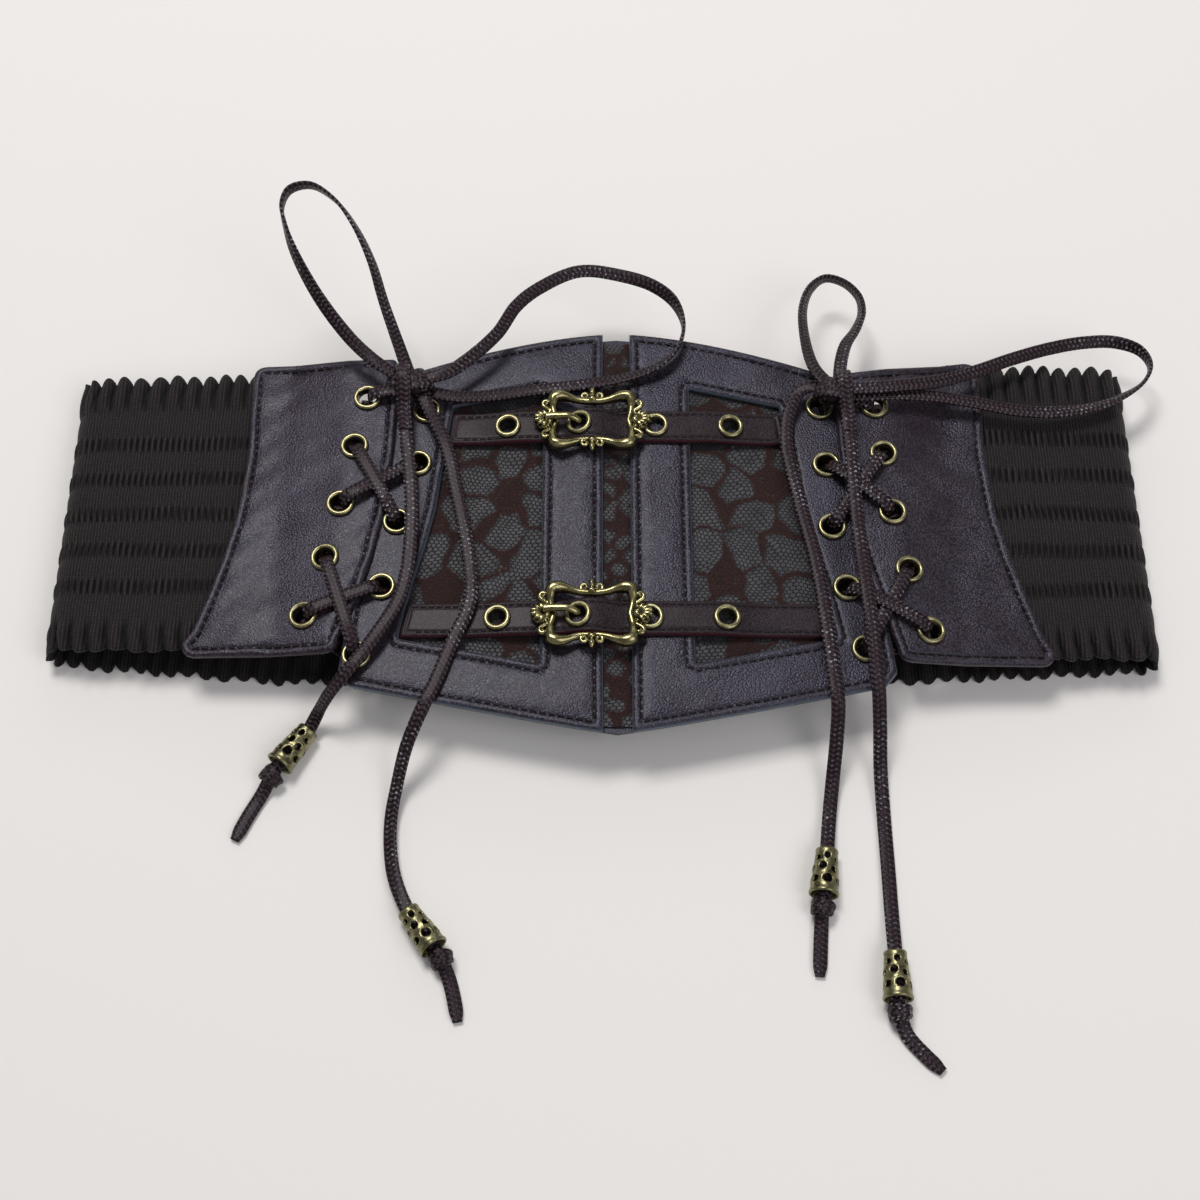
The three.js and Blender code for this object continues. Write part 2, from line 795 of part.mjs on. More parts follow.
// Outline of an outer panel: laced edge up, far edge down, with rounded corners
function outerOutline(side) {
  const low = side.low * PANEL_UP;
  const laced = (y) => PANEL_REACH * between(OUTER_EDGES, "up", y / PANEL_UP, "laced");
  const far = (y) => OUTER_REACH * between(OUTER_EDGES, "up", y / PANEL_UP, "far");
  const topLaced = side.topLaced * PANEL_UP;
  const topFar = side.topFar * PANEL_UP;
  const inner = OUTER_EDGES.map((row) => row.up * PANEL_UP);
  const kept = inner.filter((y) => y > low + OUTER_CORNER && y < topLaced - OUTER_CORNER);
  const outline = new THREE.Path();
  const start = mirror(side, laced(low) + OUTER_CORNER, low);
  outline.moveTo(start.x, start.y);
  const lineTo = (out, y) => {
    const place = mirror(side, out, y);
    outline.lineTo(place.x, place.y);
  };
  const roundTo = (cornerOut, cornerY, out, y) => {
    const corner = mirror(side, cornerOut, cornerY);
    const place = mirror(side, out, y);
    outline.quadraticCurveTo(corner.x, corner.y, place.x, place.y);
  };
  roundTo(laced(low), low, laced(low), low + OUTER_CORNER);
  [...kept].reverse().forEach((y) => lineTo(laced(y), y));
  lineTo(laced(topLaced), topLaced - 1);
  lineTo(laced(topLaced) + 1, topLaced);
  lineTo(far(topFar) - OUTER_CORNER, topFar);
  roundTo(far(topFar), topFar, far(topFar), topFar - OUTER_CORNER);
  kept.filter((y) => y < topFar - 2 * OUTER_CORNER).forEach((y) => lineTo(far(y), y));
  lineTo(far(low), low + OUTER_CORNER);
  roundTo(far(low), low, far(low) - OUTER_CORNER, low);
  return outline.getPoints(4);
}

function addOuter(side) {
  const outs = [OUTER_REACH * 0.5, ...evenly(RAMP.from, RAMP.to, 2), OUTER_REACH];
  const places = outs.map((out) => FRONT_SHIFT + side.hand * out).sort((a, b) => a - b);
  const sheet = bentSheet(outerUnder, OUTER_WALL, places);
  const drills = outerHoles(side).map((centre) => {
    const seat = seatOn(outerUnder, OUTER_WALL, centre.x);
    return drill(LACE_EYELET, centre, seat);
  });
  const whole = cutTo(sheet, outerOutline(side));
  const body = drills.reduce((rest, hole) => rest.subtract(hole), whole);
  add(`${side.name}_outer_panel`, body, LEATHER);
}

// Height of a sheet's top and its slope along X, for what sits on it
function seatOn(low, wall, x) {
  const step = 0.5;
  const slope = (low(x + step) - low(x - step)) / (2 * step);
  return { z: low(x) + wall + GAP, tilt: -Math.atan(slope) };
}

// The hole for an eyelet's barrel, square to the sheet
function drill(kind, centre, seat) {
  const hole = new THREE.CylinderGeometry(seatHole(kind), seatHole(kind), 12, SIDES_ROUND.cut);
  hole.rotateX(Math.PI / 2);
  hole.rotateY(seat.tilt);
  hole.translate(centre.x, centre.y, seat.z);
  return solid(hole);
}

// Room in a curved sheet for an eyelet's flat flange
function flangeRoom(kind, centre, seat) {
  const tall = 4;
  const radius = kind.outer / 2 + GAP;
  const room = new THREE.CylinderGeometry(radius, radius, tall, SIDES_ROUND.cut);
  room.rotateX(Math.PI / 2);
  room.translate(0, 0, (tall - GAP) / 2);
  room.rotateY(seat.tilt);
  room.translate(centre.x, centre.y, seat.z);
  return solid(room);
}

// An eyelet: a rolled flange on a barrel that goes down through the leather
function eyelet(kind, depth) {
  const bore = kind.hole / 2;
  const crest = (bore + kind.outer / 2) / 2;
  const profile = [
    [bore, -depth],
    [barrel(kind), -depth],
    [barrel(kind), 0],
    [kind.outer / 2, 0],
    [crest, kind.rise],
    [bore, 0],
    [bore, -depth],
  ].map(([radius, height]) => new THREE.Vector2(radius, height));
  const lathe = new THREE.LatheGeometry(profile, SIDES_ROUND.eyelet);
  lathe.rotateX(Math.PI / 2);
  return geometryOf(solid(lathe));
}

function addEyelet(name, geometry, centre, seat) {
  const mesh = add(name, geometry, BRASS);
  mesh.position.set(centre.x, centre.y, seat.z);
  mesh.rotation.y = seat.tilt;
}

const frameUnder = (x) => under(x) + FRAME_OFFSET;
const outerEyelet = eyelet(LACE_EYELET, OUTER_WALL + GAP);
const innerEyelet = eyelet(LACE_EYELET, FRAME_WALL + FRAME_OFFSET + GAP);
const strapEyelet = eyelet(STRAP_EYELET, STRAP_WALL);

SIDES.forEach((side) => {
  addFrame(side);
  addOuter(side);
  outerHoles(side).forEach((centre, i) => {
    const seat = seatOn(outerUnder, OUTER_WALL, centre.x);
    addEyelet(`${side.name}_outer_eyelet_${i + 1}`, outerEyelet, centre, seat);
  });
  innerHoles(side).forEach((centre, i) => {
    const seat = seatOn(frameUnder, FRAME_WALL, centre.x);
    addEyelet(`${side.name}_inner_eyelet_${i + 1}`, innerEyelet, centre, seat);
  });
});

// Straps and buckles

function addStrap(strap) {
  const middle = strap.side * STRAP_ROW;
  const low = middle - STRAP_WIDTH / 2;
  const high = middle + STRAP_WIDTH / 2;
  const rows = [low, middle, high];
  const end = (side, y) => mirror(side, windowOut(y) - GAP, y);
  const outline = [
    ...rows.map((y) => end(rightSide, y)),
    ...rows.reverse().map((y) => end(leftSide, y)),
  ];
  const fall = THREE.MathUtils.lerp(STRAP_FALL.from, STRAP_FALL.to, 0.36);
  const outs = [STRAP_FALL.from, fall, STRAP_FALL.to, WINDOW_REACH + 1];
  const places = [
    ...outs.map((out) => FRONT_SHIFT - out).reverse(),
    ...evenly(BUCKLE_SHIFT - ARCH_REACH, BUCKLE_SHIFT + ARCH_REACH, 8),
    ...outs.map((out) => FRONT_SHIFT + out),
  ];
  const sheet = bentSheet(strapUnder, STRAP_WALL, places);
  let body = cutTo(sheet, outline);
  strap.eyelets.forEach((share, i) => {
    const centre = new THREE.Vector2(share * FLAT_WIDTH, middle);
    const seat = seatOn(strapUnder, STRAP_WALL, centre.x);
    body = body.subtract(drill(STRAP_EYELET, centre, seat));
    if (Math.abs(centre.x - BUCKLE_SHIFT) < ARCH_REACH) {
      body = body.subtract(flangeRoom(STRAP_EYELET, centre, seat));
    }
    addEyelet(`${strap.name}_strap_eyelet_${i + 1}`, strapEyelet, centre, seat);
  });
  add(`${strap.name}_strap`, body, LEATHER);
}

// Closed outline of a buckle's bars: full at the corners and drawn in at the middles
function buckleOutline(inset) {
  const halfWidth = BUCKLE_WIDTH / 2 - inset;
  const halfHeight = BUCKLE_HEIGHT / 2 - inset;
  const corners = [
    { x: 1, y: 0.72 },
    { x: 0.96, y: 0.97 },
    { x: 0.78, y: 1 },
    { x: 0.4, y: 0.84 },
    { x: 0, y: 0.8 },
  ];
  const quarter = corners.map(({ x, y }) => ({ x: x * halfWidth, y: y * halfHeight }));
  const waist = { x: halfWidth * 0.93, y: 0 };
  return [
    waist,
    ...quarter,
    ...quarter.slice(0, -1).reverse().map(({ x, y }) => ({ x: -x, y })),
    { x: -waist.x, y: 0 },
    ...quarter.slice(0, -1).map(({ x, y }) => ({ x: -x, y: -y })),
    ...[...quarter].reverse().map(({ x, y }) => ({ x, y: -y })),
  ].map(({ x, y }) => new THREE.Vector2(x, y));
}

// Shells and scrolls cast on the buckle: place as shares of its half sizes, radius as a share
// of the bar
const BUCKLE_CAST = [
  { x: 1.13, y: 0, radius: 1.5 },
  { x: 1.12, y: 0.42, radius: 0.8 },
  { x: 1.12, y: -0.42, radius: 0.8 },
  { x: -1.13, y: 0, radius: 1.5 },
  { x: -1.12, y: 0.42, radius: 0.8 },
  { x: -1.12, y: -0.42, radius: 0.8 },
  { x: 0, y: 0.92, radius: 1 },
  { x: 0, y: -0.92, radius: 1 },
];

function buckleFrame() {
  const shape = new THREE.Shape(turned(buckleOutline(0), false));
  shape.holes = [new THREE.Path(turned(buckleOutline(BUCKLE_BAR), true))];
  const bars = new THREE.ExtrudeGeometry(shape, { depth: BUCKLE_THICKNESS, bevelEnabled: false });
  return BUCKLE_CAST.reduce((whole, cast) => {
    const radius = cast.radius * BUCKLE_BAR;
    const boss = new THREE.CylinderGeometry(radius * 0.7, radius, CAST_THICKNESS, 6);
    boss.rotateX(Math.PI / 2);
    const x = (cast.x * BUCKLE_WIDTH) / 2;
    const y = (cast.y * BUCKLE_HEIGHT) / 2;
    boss.translate(x, y, BUCKLE_THICKNESS + GAP - CAST_THICKNESS / 2);
    return whole.add(solid(boss));
  }, solid(bars));
}

// A curve with a section at each point of its route, whose width is level but for its lean
class LaceCurve extends THREE.CatmullRomCurve3 {
  constructor(route) {
    super(route.map(([x, y, z]) => new THREE.Vector3(x, y, z)), false, "centripetal");
    this.leans = route.map((row) => THREE.MathUtils.degToRad(row[3] ?? 0));
  }

  getSpacedPoints() {
    return this.points;
  }

  computeFrenetFrames(segments) {
    const frames = { tangents: [], normals: [], binormals: [] };
    for (let i = 0; i <= segments; i += 1) {
      const tangent = this.getTangent(i / segments);
      const level = new THREE.Vector3(tangent.y, -tangent.x, 0).normalize();
      const normal = level.applyAxisAngle(tangent, this.leans[i]);
      frames.tangents.push(tangent);
      frames.normals.push(normal);
      frames.binormals.push(new THREE.Vector3().crossVectors(tangent, normal));
    }
    return frames;
  }
}

// Section of a flat lace: eight sides
function laceSection() {
  const halfWidth = CORD_WIDTH / 2;
  const half = CORD_THICKNESS / 2;
  const flat = halfWidth - half * 0.8;
  const points = [
    [flat, half],
    [-flat, half],
    [-halfWidth, half * 0.4],
    [-halfWidth, -half * 0.4],
    [-flat, -half],
    [flat, -half],
    [halfWidth, -half * 0.4],
    [halfWidth, half * 0.4],
  ];
  return new THREE.Shape(points.map(([x, y]) => new THREE.Vector2(x, y)));
}

function laceAlong(route) {
  const curve = new LaceCurve(route);
  const steps = route.length - 1;
  const shape = laceSection();
  const geometry = new THREE.ExtrudeGeometry(shape, { steps, extrudePath: curve, bevelEnabled: false });
  return solid(geometry);
}

function prong(buckleTop, strapTop, eyeletX) {
  const hinge = -BUCKLE_WIDTH / 2;
  const rest = buckleTop + GAP + PRONG_DIAMETER / 2;
  const route = [
    new THREE.Vector3(hinge - 0.2, 1.2, rest),
    new THREE.Vector3(hinge + 2.6, 1.2, rest + 0.2),
    new THREE.Vector3(eyeletX - 3, 0.8, Math.max(rest, strapTop + 3)),
    new THREE.Vector3(eyeletX, 0, strapTop + 1.6),
    new THREE.Vector3(eyeletX + 1, 0, strapTop - 0.4),
  ];
  const curve = new THREE.CatmullRomCurve3(route);
  const shape = new THREE.Shape();
  shape.absarc(0, 0, PRONG_DIAMETER / 2, 0, Math.PI * 2);
  const settings = { steps: 9, curveSegments: 3, extrudePath: curve, bevelEnabled: false };
  return solid(new THREE.ExtrudeGeometry(shape, settings));
}

STRAPS.forEach((strap) => {
  addStrap(strap);
  const bottom = under(BUCKLE_SHIFT) + BUCKLE_OFFSET;
  const middle = strap.side * STRAP_ROW;
  const frame = add(`${strap.name}_buckle_frame`, buckleFrame(), BRASS);
  frame.position.set(BUCKLE_SHIFT, middle, bottom);
  const eyeletX = strap.eyelets[1] * FLAT_WIDTH - BUCKLE_SHIFT;
  const strapTop = strapUnder(BUCKLE_SHIFT + eyeletX) + STRAP_WALL - bottom;
  const tongue = add(`${strap.name}_buckle_prong`, prong(BUCKLE_THICKNESS, strapTop, eyeletX), BRASS);
  tongue.position.set(BUCKLE_SHIFT, middle, bottom);
});

// Laces

// The rounded body of a bow knot
function bowKnot(middle, grow) {
  const ball = new THREE.SphereGeometry(0.5, 10, 6);
  const { width, height, depth } = BOW_KNOT;
  ball.rotateX(Math.PI / 2);
  ball.scale(width + 2 * grow, height + 2 * grow, depth + 2 * grow);
  ball.translate(...middle);
  return solid(ball);
}

// One strand of lacing in the upright plane between two places, given as heights along it
function strand(from, to, heights) {
  const run = Math.hypot(to.x - from.x, to.y - from.y);
  const side = CORD_THICKNESS / 2;
  const points = heights.map(([along, z]) => new THREE.Vector2(along(run), z));
  const normals = points.map((point, i) => {
    const before = points[Math.max(i - 1, 0)];
    const after = points[Math.min(i + 1, points.length - 1)];
    const way = after.clone().sub(before).normalize();
    return new THREE.Vector2(-way.y, way.x).multiplyScalar(side);
  });
  const outline = [
    ...points.map((point, i) => point.clone().add(normals[i])),
    ...points.map((point, i) => point.clone().sub(normals[i])).reverse(),
  ];
  const settings = { depth: CORD_WIDTH, bevelEnabled: false };
  const geometry = new THREE.ExtrudeGeometry(new THREE.Shape(outline), settings);
  geometry.translate(0, 0, -CORD_WIDTH / 2);
  geometry.rotateX(Math.PI / 2);
  geometry.rotateZ(Math.atan2(to.y - from.y, to.x - from.x));
  geometry.translate(from.x, from.y, 0);
  return solid(geometry);
}

// Where a lace turns in an eyelet, from the hole's middle
const TURN_IN = 0.75;
const TURN_RIM = 3.1;
const TURN_OUT = 5.4;
const TURN_DROP = 7.5;

// Middle of a strand where it turns over an eyelet's rim
const RIM_LIFT = LACE_EYELET.rise + 4 * GAP + CORD_THICKNESS / 2;

// A strand over the leather from an outer eyelet down into an inner one
function overStrand(from, to, peak) {
  return strand(from, to, [
    [() => TURN_IN, from.top - CORD_THICKNESS],
    [() => TURN_IN + 0.1, from.top + 1.1],
    [() => TURN_RIM, from.top + RIM_LIFT],
    [() => TURN_OUT, Math.max(from.top + RIM_LIFT + 0.3, peak)],
    [(run) => run - TURN_DROP, Math.max(to.top + RIM_LIFT + 0.3, peak)],
    [(run) => run - TURN_RIM, to.top + RIM_LIFT],
    [(run) => run - TURN_IN - 0.1, to.top + 1.1],
    [(run) => run - TURN_IN, to.top - CORD_THICKNESS],
  ]);
}

// A strand behind the leather between two eyelets
function underStrand(from, to) {
  const drop = GAP + CORD_THICKNESS / 2 + 0.3;
  const level = Math.min(from.low, to.low) - drop;
  return strand(from, to, [
    [() => TURN_IN, from.low + 0.5],
    [() => TURN_IN + 0.3, from.low - drop + 0.2],
    [() => TURN_OUT, level],
    [(run) => run - TURN_OUT, level],
    [(run) => run - TURN_IN - 0.3, to.low - drop + 0.2],
    [(run) => run - TURN_IN, to.low + 0.5],
  ]);
}

// The lace inside an eyelet, from the strand behind to the strand in front
function holeCore(place) {
  const radius = LACE_EYELET.hole / 2 - CORD_THICKNESS;
  const tall = place.top - place.low + CORD_THICKNESS;
  const geometry = new THREE.CylinderGeometry(radius, radius, tall, SIDES_ROUND.core);
  geometry.rotateX(Math.PI / 2);
  geometry.translate(place.x, place.y, (place.top + place.low) / 2);
  return solid(geometry);
}

// A strand from a first eyelet up into the bow knot
function knotStrand(from, middle) {
  const [x, y, z] = middle;
  return strand(from, { x, y }, [
    [() => TURN_IN, from.top - CORD_THICKNESS],
    [() => TURN_IN + 0.1, from.top + 1.1],
    [(run) => Math.min(TURN_RIM, run * 0.5), from.top + RIM_LIFT],
    [(run) => run * 0.75, Math.max(from.top + RIM_LIFT + 0.4, z - 2)],
    [(run) => run, z - 1],
  ]);
}

function lacing(side) {
  const outer = outerHoles(side).map(({ x, y }) => ({
    x,
    y,
    top: outerUnder(x) + OUTER_WALL,
    low: outerUnder(x),
  }));
  const inner = innerHoles(side).map(({ x, y }) => ({
    x,
    y,
    top: frameUnder(x) + FRAME_WALL,
    low: under(x),
  }));
  const crest = outerUnder(FRONT_SHIFT + side.hand * RAMP.from) + OUTER_WALL;
  const first = crest + GAP + CORD_THICKNESS / 2;
  const second = first + GAP + CORD_THICKNESS;
  const [fallingPeak, risingPeak] = side.fallingOnTop ? [second, first] : [first, second];
  const pieces = [
    knotStrand(outer[0], KNOTS[side.name]),
    knotStrand(inner[0], KNOTS[side.name]),
    overStrand(outer[1], inner[2], fallingPeak),
    overStrand(outer[2], inner[1], risingPeak),
    overStrand(outer[3], inner[4], fallingPeak),
    overStrand(outer[4], inner[3], risingPeak),
    underStrand(outer[0], outer[1]),
    underStrand(outer[2], outer[3]),
    underStrand(inner[0], inner[1]),
    underStrand(inner[2], inner[3]),
    underStrand(outer[4], inner[4]),
    ...[...outer, ...inner].map(holeCore),
  ];
  const whole = pieces.reduce((sum, piece) => sum.add(piece));
  return whole.subtract(bowKnot(KNOTS[side.name], GAP));
}

SIDES.forEach((side) => {
  add(`${side.name}_lacing`, lacing(side), WAXED);
  add(`${side.name}_bow_knot`, bowKnot(KNOTS[side.name], 0), WAXED);
});

LOOPS.forEach((loop) => {
  const whole = laceAlong(loop.route);
  add(loop.name, whole.subtract(bowKnot(KNOTS[loop.knot], GAP)), WAXED);
});

// A bead from its small end at the origin to its large end up Z, with holes through its wall
function bead() {
  const small = BEAD_SMALL / 2;
  const large = BEAD_LARGE / 2;
  const profile = [
    [small - BEAD_WALL, 0],
    [small, 0],
    [large, BEAD_LENGTH],
    [large - BEAD_WALL, BEAD_LENGTH],
    [small - BEAD_WALL, 0],
  ].map(([radius, height]) => new THREE.Vector2(radius, height));
  const shell = new THREE.LatheGeometry(profile, SIDES_ROUND.bead);
  shell.rotateX(Math.PI / 2);
  const rows = [
    { up: 0.22, turn: 0, size: 0.75 },
    { up: 0.22, turn: 0.5, size: 0.75 },
    { up: 0.5, turn: 0.25, size: 0.9 },
    { up: 0.5, turn: 0.75, size: 0.9 },
    { up: 0.78, turn: 0, size: 1.1 },
    { up: 0.78, turn: 0.5, size: 1.1 },
  ];
  return rows.reduce((body, row) => {
    const radius = (BEAD_HOLE / 2) * row.size;
    const bore = new THREE.CylinderGeometry(radius, radius, 2 * BEAD_LARGE, SIDES_ROUND.bore);
    bore.rotateZ(row.turn * Math.PI);
    bore.translate(0, 0, row.up * BEAD_LENGTH);
    return body.subtract(solid(bore));
  }, solid(shell));
}

const beadGeometry = geometryOf(bead());

TAILS.forEach((tail) => {
  const points = tail.route.map(([x, y, z]) => new THREE.Vector3(x, y, z));
  const start = points[tail.bead];
  const end = points[tail.bead + 2];
  const knotPlace = points[tail.bead + 3];
  const ball = new THREE.SphereGeometry(END_KNOT / 2, 7, 5);
  ball.translate(knotPlace.x, knotPlace.y, knotPlace.z);
  const whole = laceAlong(tail.route).add(solid(ball));
  add(tail.name, whole.subtract(bowKnot(KNOTS[tail.knot], GAP)), WAXED);
  const mesh = add(`${tail.name}_bead`, beadGeometry, BRASS);
  const way = end.clone().sub(start).normalize();
  mesh.position.copy(start);
  mesh.quaternion.setFromUnitVectors(new THREE.Vector3(0, 0, 1), way);
});

export default belt;
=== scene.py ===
"""Looks of the corset belt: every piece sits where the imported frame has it. Lengths in mm."""
import bmesh
import bpy
import math
import numpy as np
from mathutils import Matrix, Vector
from mathutils.geometry import delaunay_2d_cdt


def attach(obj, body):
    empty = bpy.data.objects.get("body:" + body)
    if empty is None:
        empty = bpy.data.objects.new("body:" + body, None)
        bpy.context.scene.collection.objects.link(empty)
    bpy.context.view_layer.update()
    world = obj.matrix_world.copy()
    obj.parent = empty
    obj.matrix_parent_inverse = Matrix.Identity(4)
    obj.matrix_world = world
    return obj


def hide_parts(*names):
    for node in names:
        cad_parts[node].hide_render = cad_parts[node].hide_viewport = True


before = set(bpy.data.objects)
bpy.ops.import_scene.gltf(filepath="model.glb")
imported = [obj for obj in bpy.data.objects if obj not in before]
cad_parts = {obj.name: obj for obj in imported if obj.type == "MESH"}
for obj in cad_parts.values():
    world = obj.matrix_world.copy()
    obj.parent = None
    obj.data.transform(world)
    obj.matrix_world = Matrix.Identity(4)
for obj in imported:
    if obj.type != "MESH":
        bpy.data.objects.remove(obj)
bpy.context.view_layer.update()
MM = 0.001

# Camera and light

TARGET = Vector((-0.7, -24.8, 10)) * MM
ELEVATION = math.radians(64)
DISTANCE = 0.6


def aimed(name, data, place, back):
    """Links a camera or a lamp at place, with its back turned towards back."""
    thing = bpy.data.objects.new(name, data)
    thing.location = place
    thing.rotation_euler = back.to_track_quat("Z", "Y").to_euler()
    bpy.context.scene.collection.objects.link(thing)
    return thing


def area_light(name, place, size, power, colour):
    """A rectangular lamp, in metres and watts, that looks at the middle of the frame."""
    data = bpy.data.lights.new(name, "AREA")
    data.shape = "RECTANGLE"
    data.size, data.size_y = size
    data.energy = power
    data.color = colour
    aimed(name, data, place, Vector(place))


cam_data = bpy.data.cameras.new("camera")
cam_data.sensor_width = 36
cam_data.lens = 53.7
cam_data.clip_start = 0.01
cam_data.dof.use_dof = False
away = Vector((0, -math.cos(ELEVATION), math.sin(ELEVATION)))
bpy.context.scene.camera = aimed("camera", cam_data, TARGET + away * DISTANCE, away)
area_light("key", (-0.38, 0.82, 1.9), (0.8, 0.6), 23, (1, 0.98, 0.955))
area_light("fill", (1.1, -0.9, 1.5), (1.2, 1.2), 10.5, (0.98, 0.98, 1))
area_light("rim", (0.1, 1.1, 0.55), (1.1, 0.3), 1.0, (1, 1, 1))
world = bpy.data.worlds.new("studio")
world.use_nodes = True
sky = world.node_tree.nodes["Background"].inputs
sky[0].default_value = (0.95, 0.96, 1, 1)
sky[1].default_value = 0.26
bpy.context.scene.world = world
bpy.context.scene.view_settings.view_transform = "Standard"

# Meshes


def make(name, verts, faces, uvs=None, fields=None):
    """A smooth mesh object from points in mm. uvs and fields hold one value a point."""
    mesh = bpy.data.meshes.new(name)
    mesh.from_pydata((np.asarray(verts, float) * MM).tolist(), [], [tuple(map(int, f)) for f in faces])
    mesh.validate()
    mesh.shade_smooth()
    loops = np.empty(len(mesh.loops), int)
    mesh.loops.foreach_get("vertex_index", loops)
    if uvs is not None:
        layer = mesh.uv_layers.new(name="UVMap")
        layer.data.foreach_set("uv", np.asarray(uvs, float)[loops].ravel())
    for key, values in (fields or {}).items():
        attribute = mesh.attributes.new(key, "FLOAT", "POINT")
        attribute.data.foreach_set("value", np.asarray(values, float))
    thing = bpy.data.objects.new(f"{name}_dressed", mesh)
    bpy.context.scene.collection.objects.link(thing)
    return thing


def settle(thing, mat, slot, *nodes):
    """Gives a piece its material; slot is not used. It rides with the body and replaces its nodes."""
    thing.data.materials.clear()
    thing.data.materials.append(mat)
    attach(thing, "root")
    if nodes:
        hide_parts(*nodes)
    return thing


class Parts:
    """Gathers several pieces of mesh into one."""

    def __init__(self):
        self.verts, self.faces, self.uvs, self.fields = [], [], [], {}
        self.count = 0

    def put(self, verts, faces, uvs=None, **fields):
        verts = np.asarray(verts, float)
        self.verts.append(verts)
        self.faces += [tuple(int(i) + self.count for i in f) for f in faces]
        self.uvs.append(np.zeros((len(verts), 2)) if uvs is None else np.asarray(uvs, float))
        for key, values in fields.items():
            self.fields.setdefault(key, {})[self.count] = np.broadcast_to(values, len(verts))
        self.count += len(verts)

    def done(self, name):
        fields = {}
        for key, chunks in self.fields.items():
            fields[key] = np.zeros(self.count)
            for start, values in chunks.items():
                fields[key][start : start + len(values)] = values
        return make(name, np.vstack(self.verts), self.faces, np.vstack(self.uvs), fields)


def unit(vectors):
    return vectors / (np.linalg.norm(vectors, axis=-1, keepdims=True) + 1e-12)


def lengths(line):
    """How far along a line each of its points lies."""
    return np.concatenate([[0], np.cumsum(np.linalg.norm(np.diff(line, axis=0), axis=1))])


def turns(count):
    """Angles of equal steps round a circle."""
    return np.arange(count) / count * 2 * np.pi


def grid_faces(rows, cols, closed=False, capped=False):
    """Faces of a grid whose points run along the columns first.

    closed joins the last column to the first, and capped closes the first and last row."""
    r = np.arange(rows - 1)[:, None]
    c = np.arange(cols if closed else cols - 1)[None, :]
    n = (c + 1) % cols
    quads = np.stack([r * cols + c, r * cols + n, (r + 1) * cols + n, (r + 1) * cols + c], -1).reshape(-1, 4)
    if capped:
        return quads.tolist() + [list(range(cols))[::-1], [(rows - 1) * cols + i for i in range(cols)]]
    return quads


def lattice(columns, rows):
    """The points of a grid, one row after the other."""
    return np.stack(np.meshgrid(columns, rows), -1).reshape(-1, 2)


def spline(points, step):
    """Points along a centripetal curve through the given ones, about step apart."""
    p = np.asarray(points, float)
    ext = np.vstack([2 * p[0] - p[1], p, 2 * p[-1] - p[-2]])
    out = []
    for i in range(1, len(ext) - 2):
        a, b, c, d = ext[i - 1 : i + 3]
        t = [0.0]
        for m, n in ((a, b), (b, c), (c, d)):
            t.append(t[-1] + max(np.linalg.norm((n - m)[:3]), 1e-6) ** 0.5)
        steps = max(1, round(np.linalg.norm((c - b)[:3]) / step))
        for s in np.arange(steps) / steps:
            u = t[1] + (t[2] - t[1]) * s
            mix = lambda x, y, lo, hi: (x * (hi - u) + y * (u - lo)) / (hi - lo)
            ab, bc, cd = mix(a, b, t[0], t[1]), mix(b, c, t[1], t[2]), mix(c, d, t[2], t[3])
            abc, bcd = mix(ab, bc, t[0], t[2]), mix(bc, cd, t[1], t[3])
            out.append(mix(abc, bcd, t[1], t[2]))
    out.append(ext[-2])
    return np.array(out)


# Materials


class Value:
    """What a node gives. Sums, products and shares of values make further nodes."""

    def __init__(self, nodes, socket):
        self.nodes, self.socket = nodes, socket

    def __add__(self, other):
        return self.nodes.math("ADD", self, other)

    def __mul__(self, other):
        return self.nodes.math("MULTIPLY", self, other)

    def __truediv__(self, other):
        return self.nodes.math("DIVIDE", self, other)


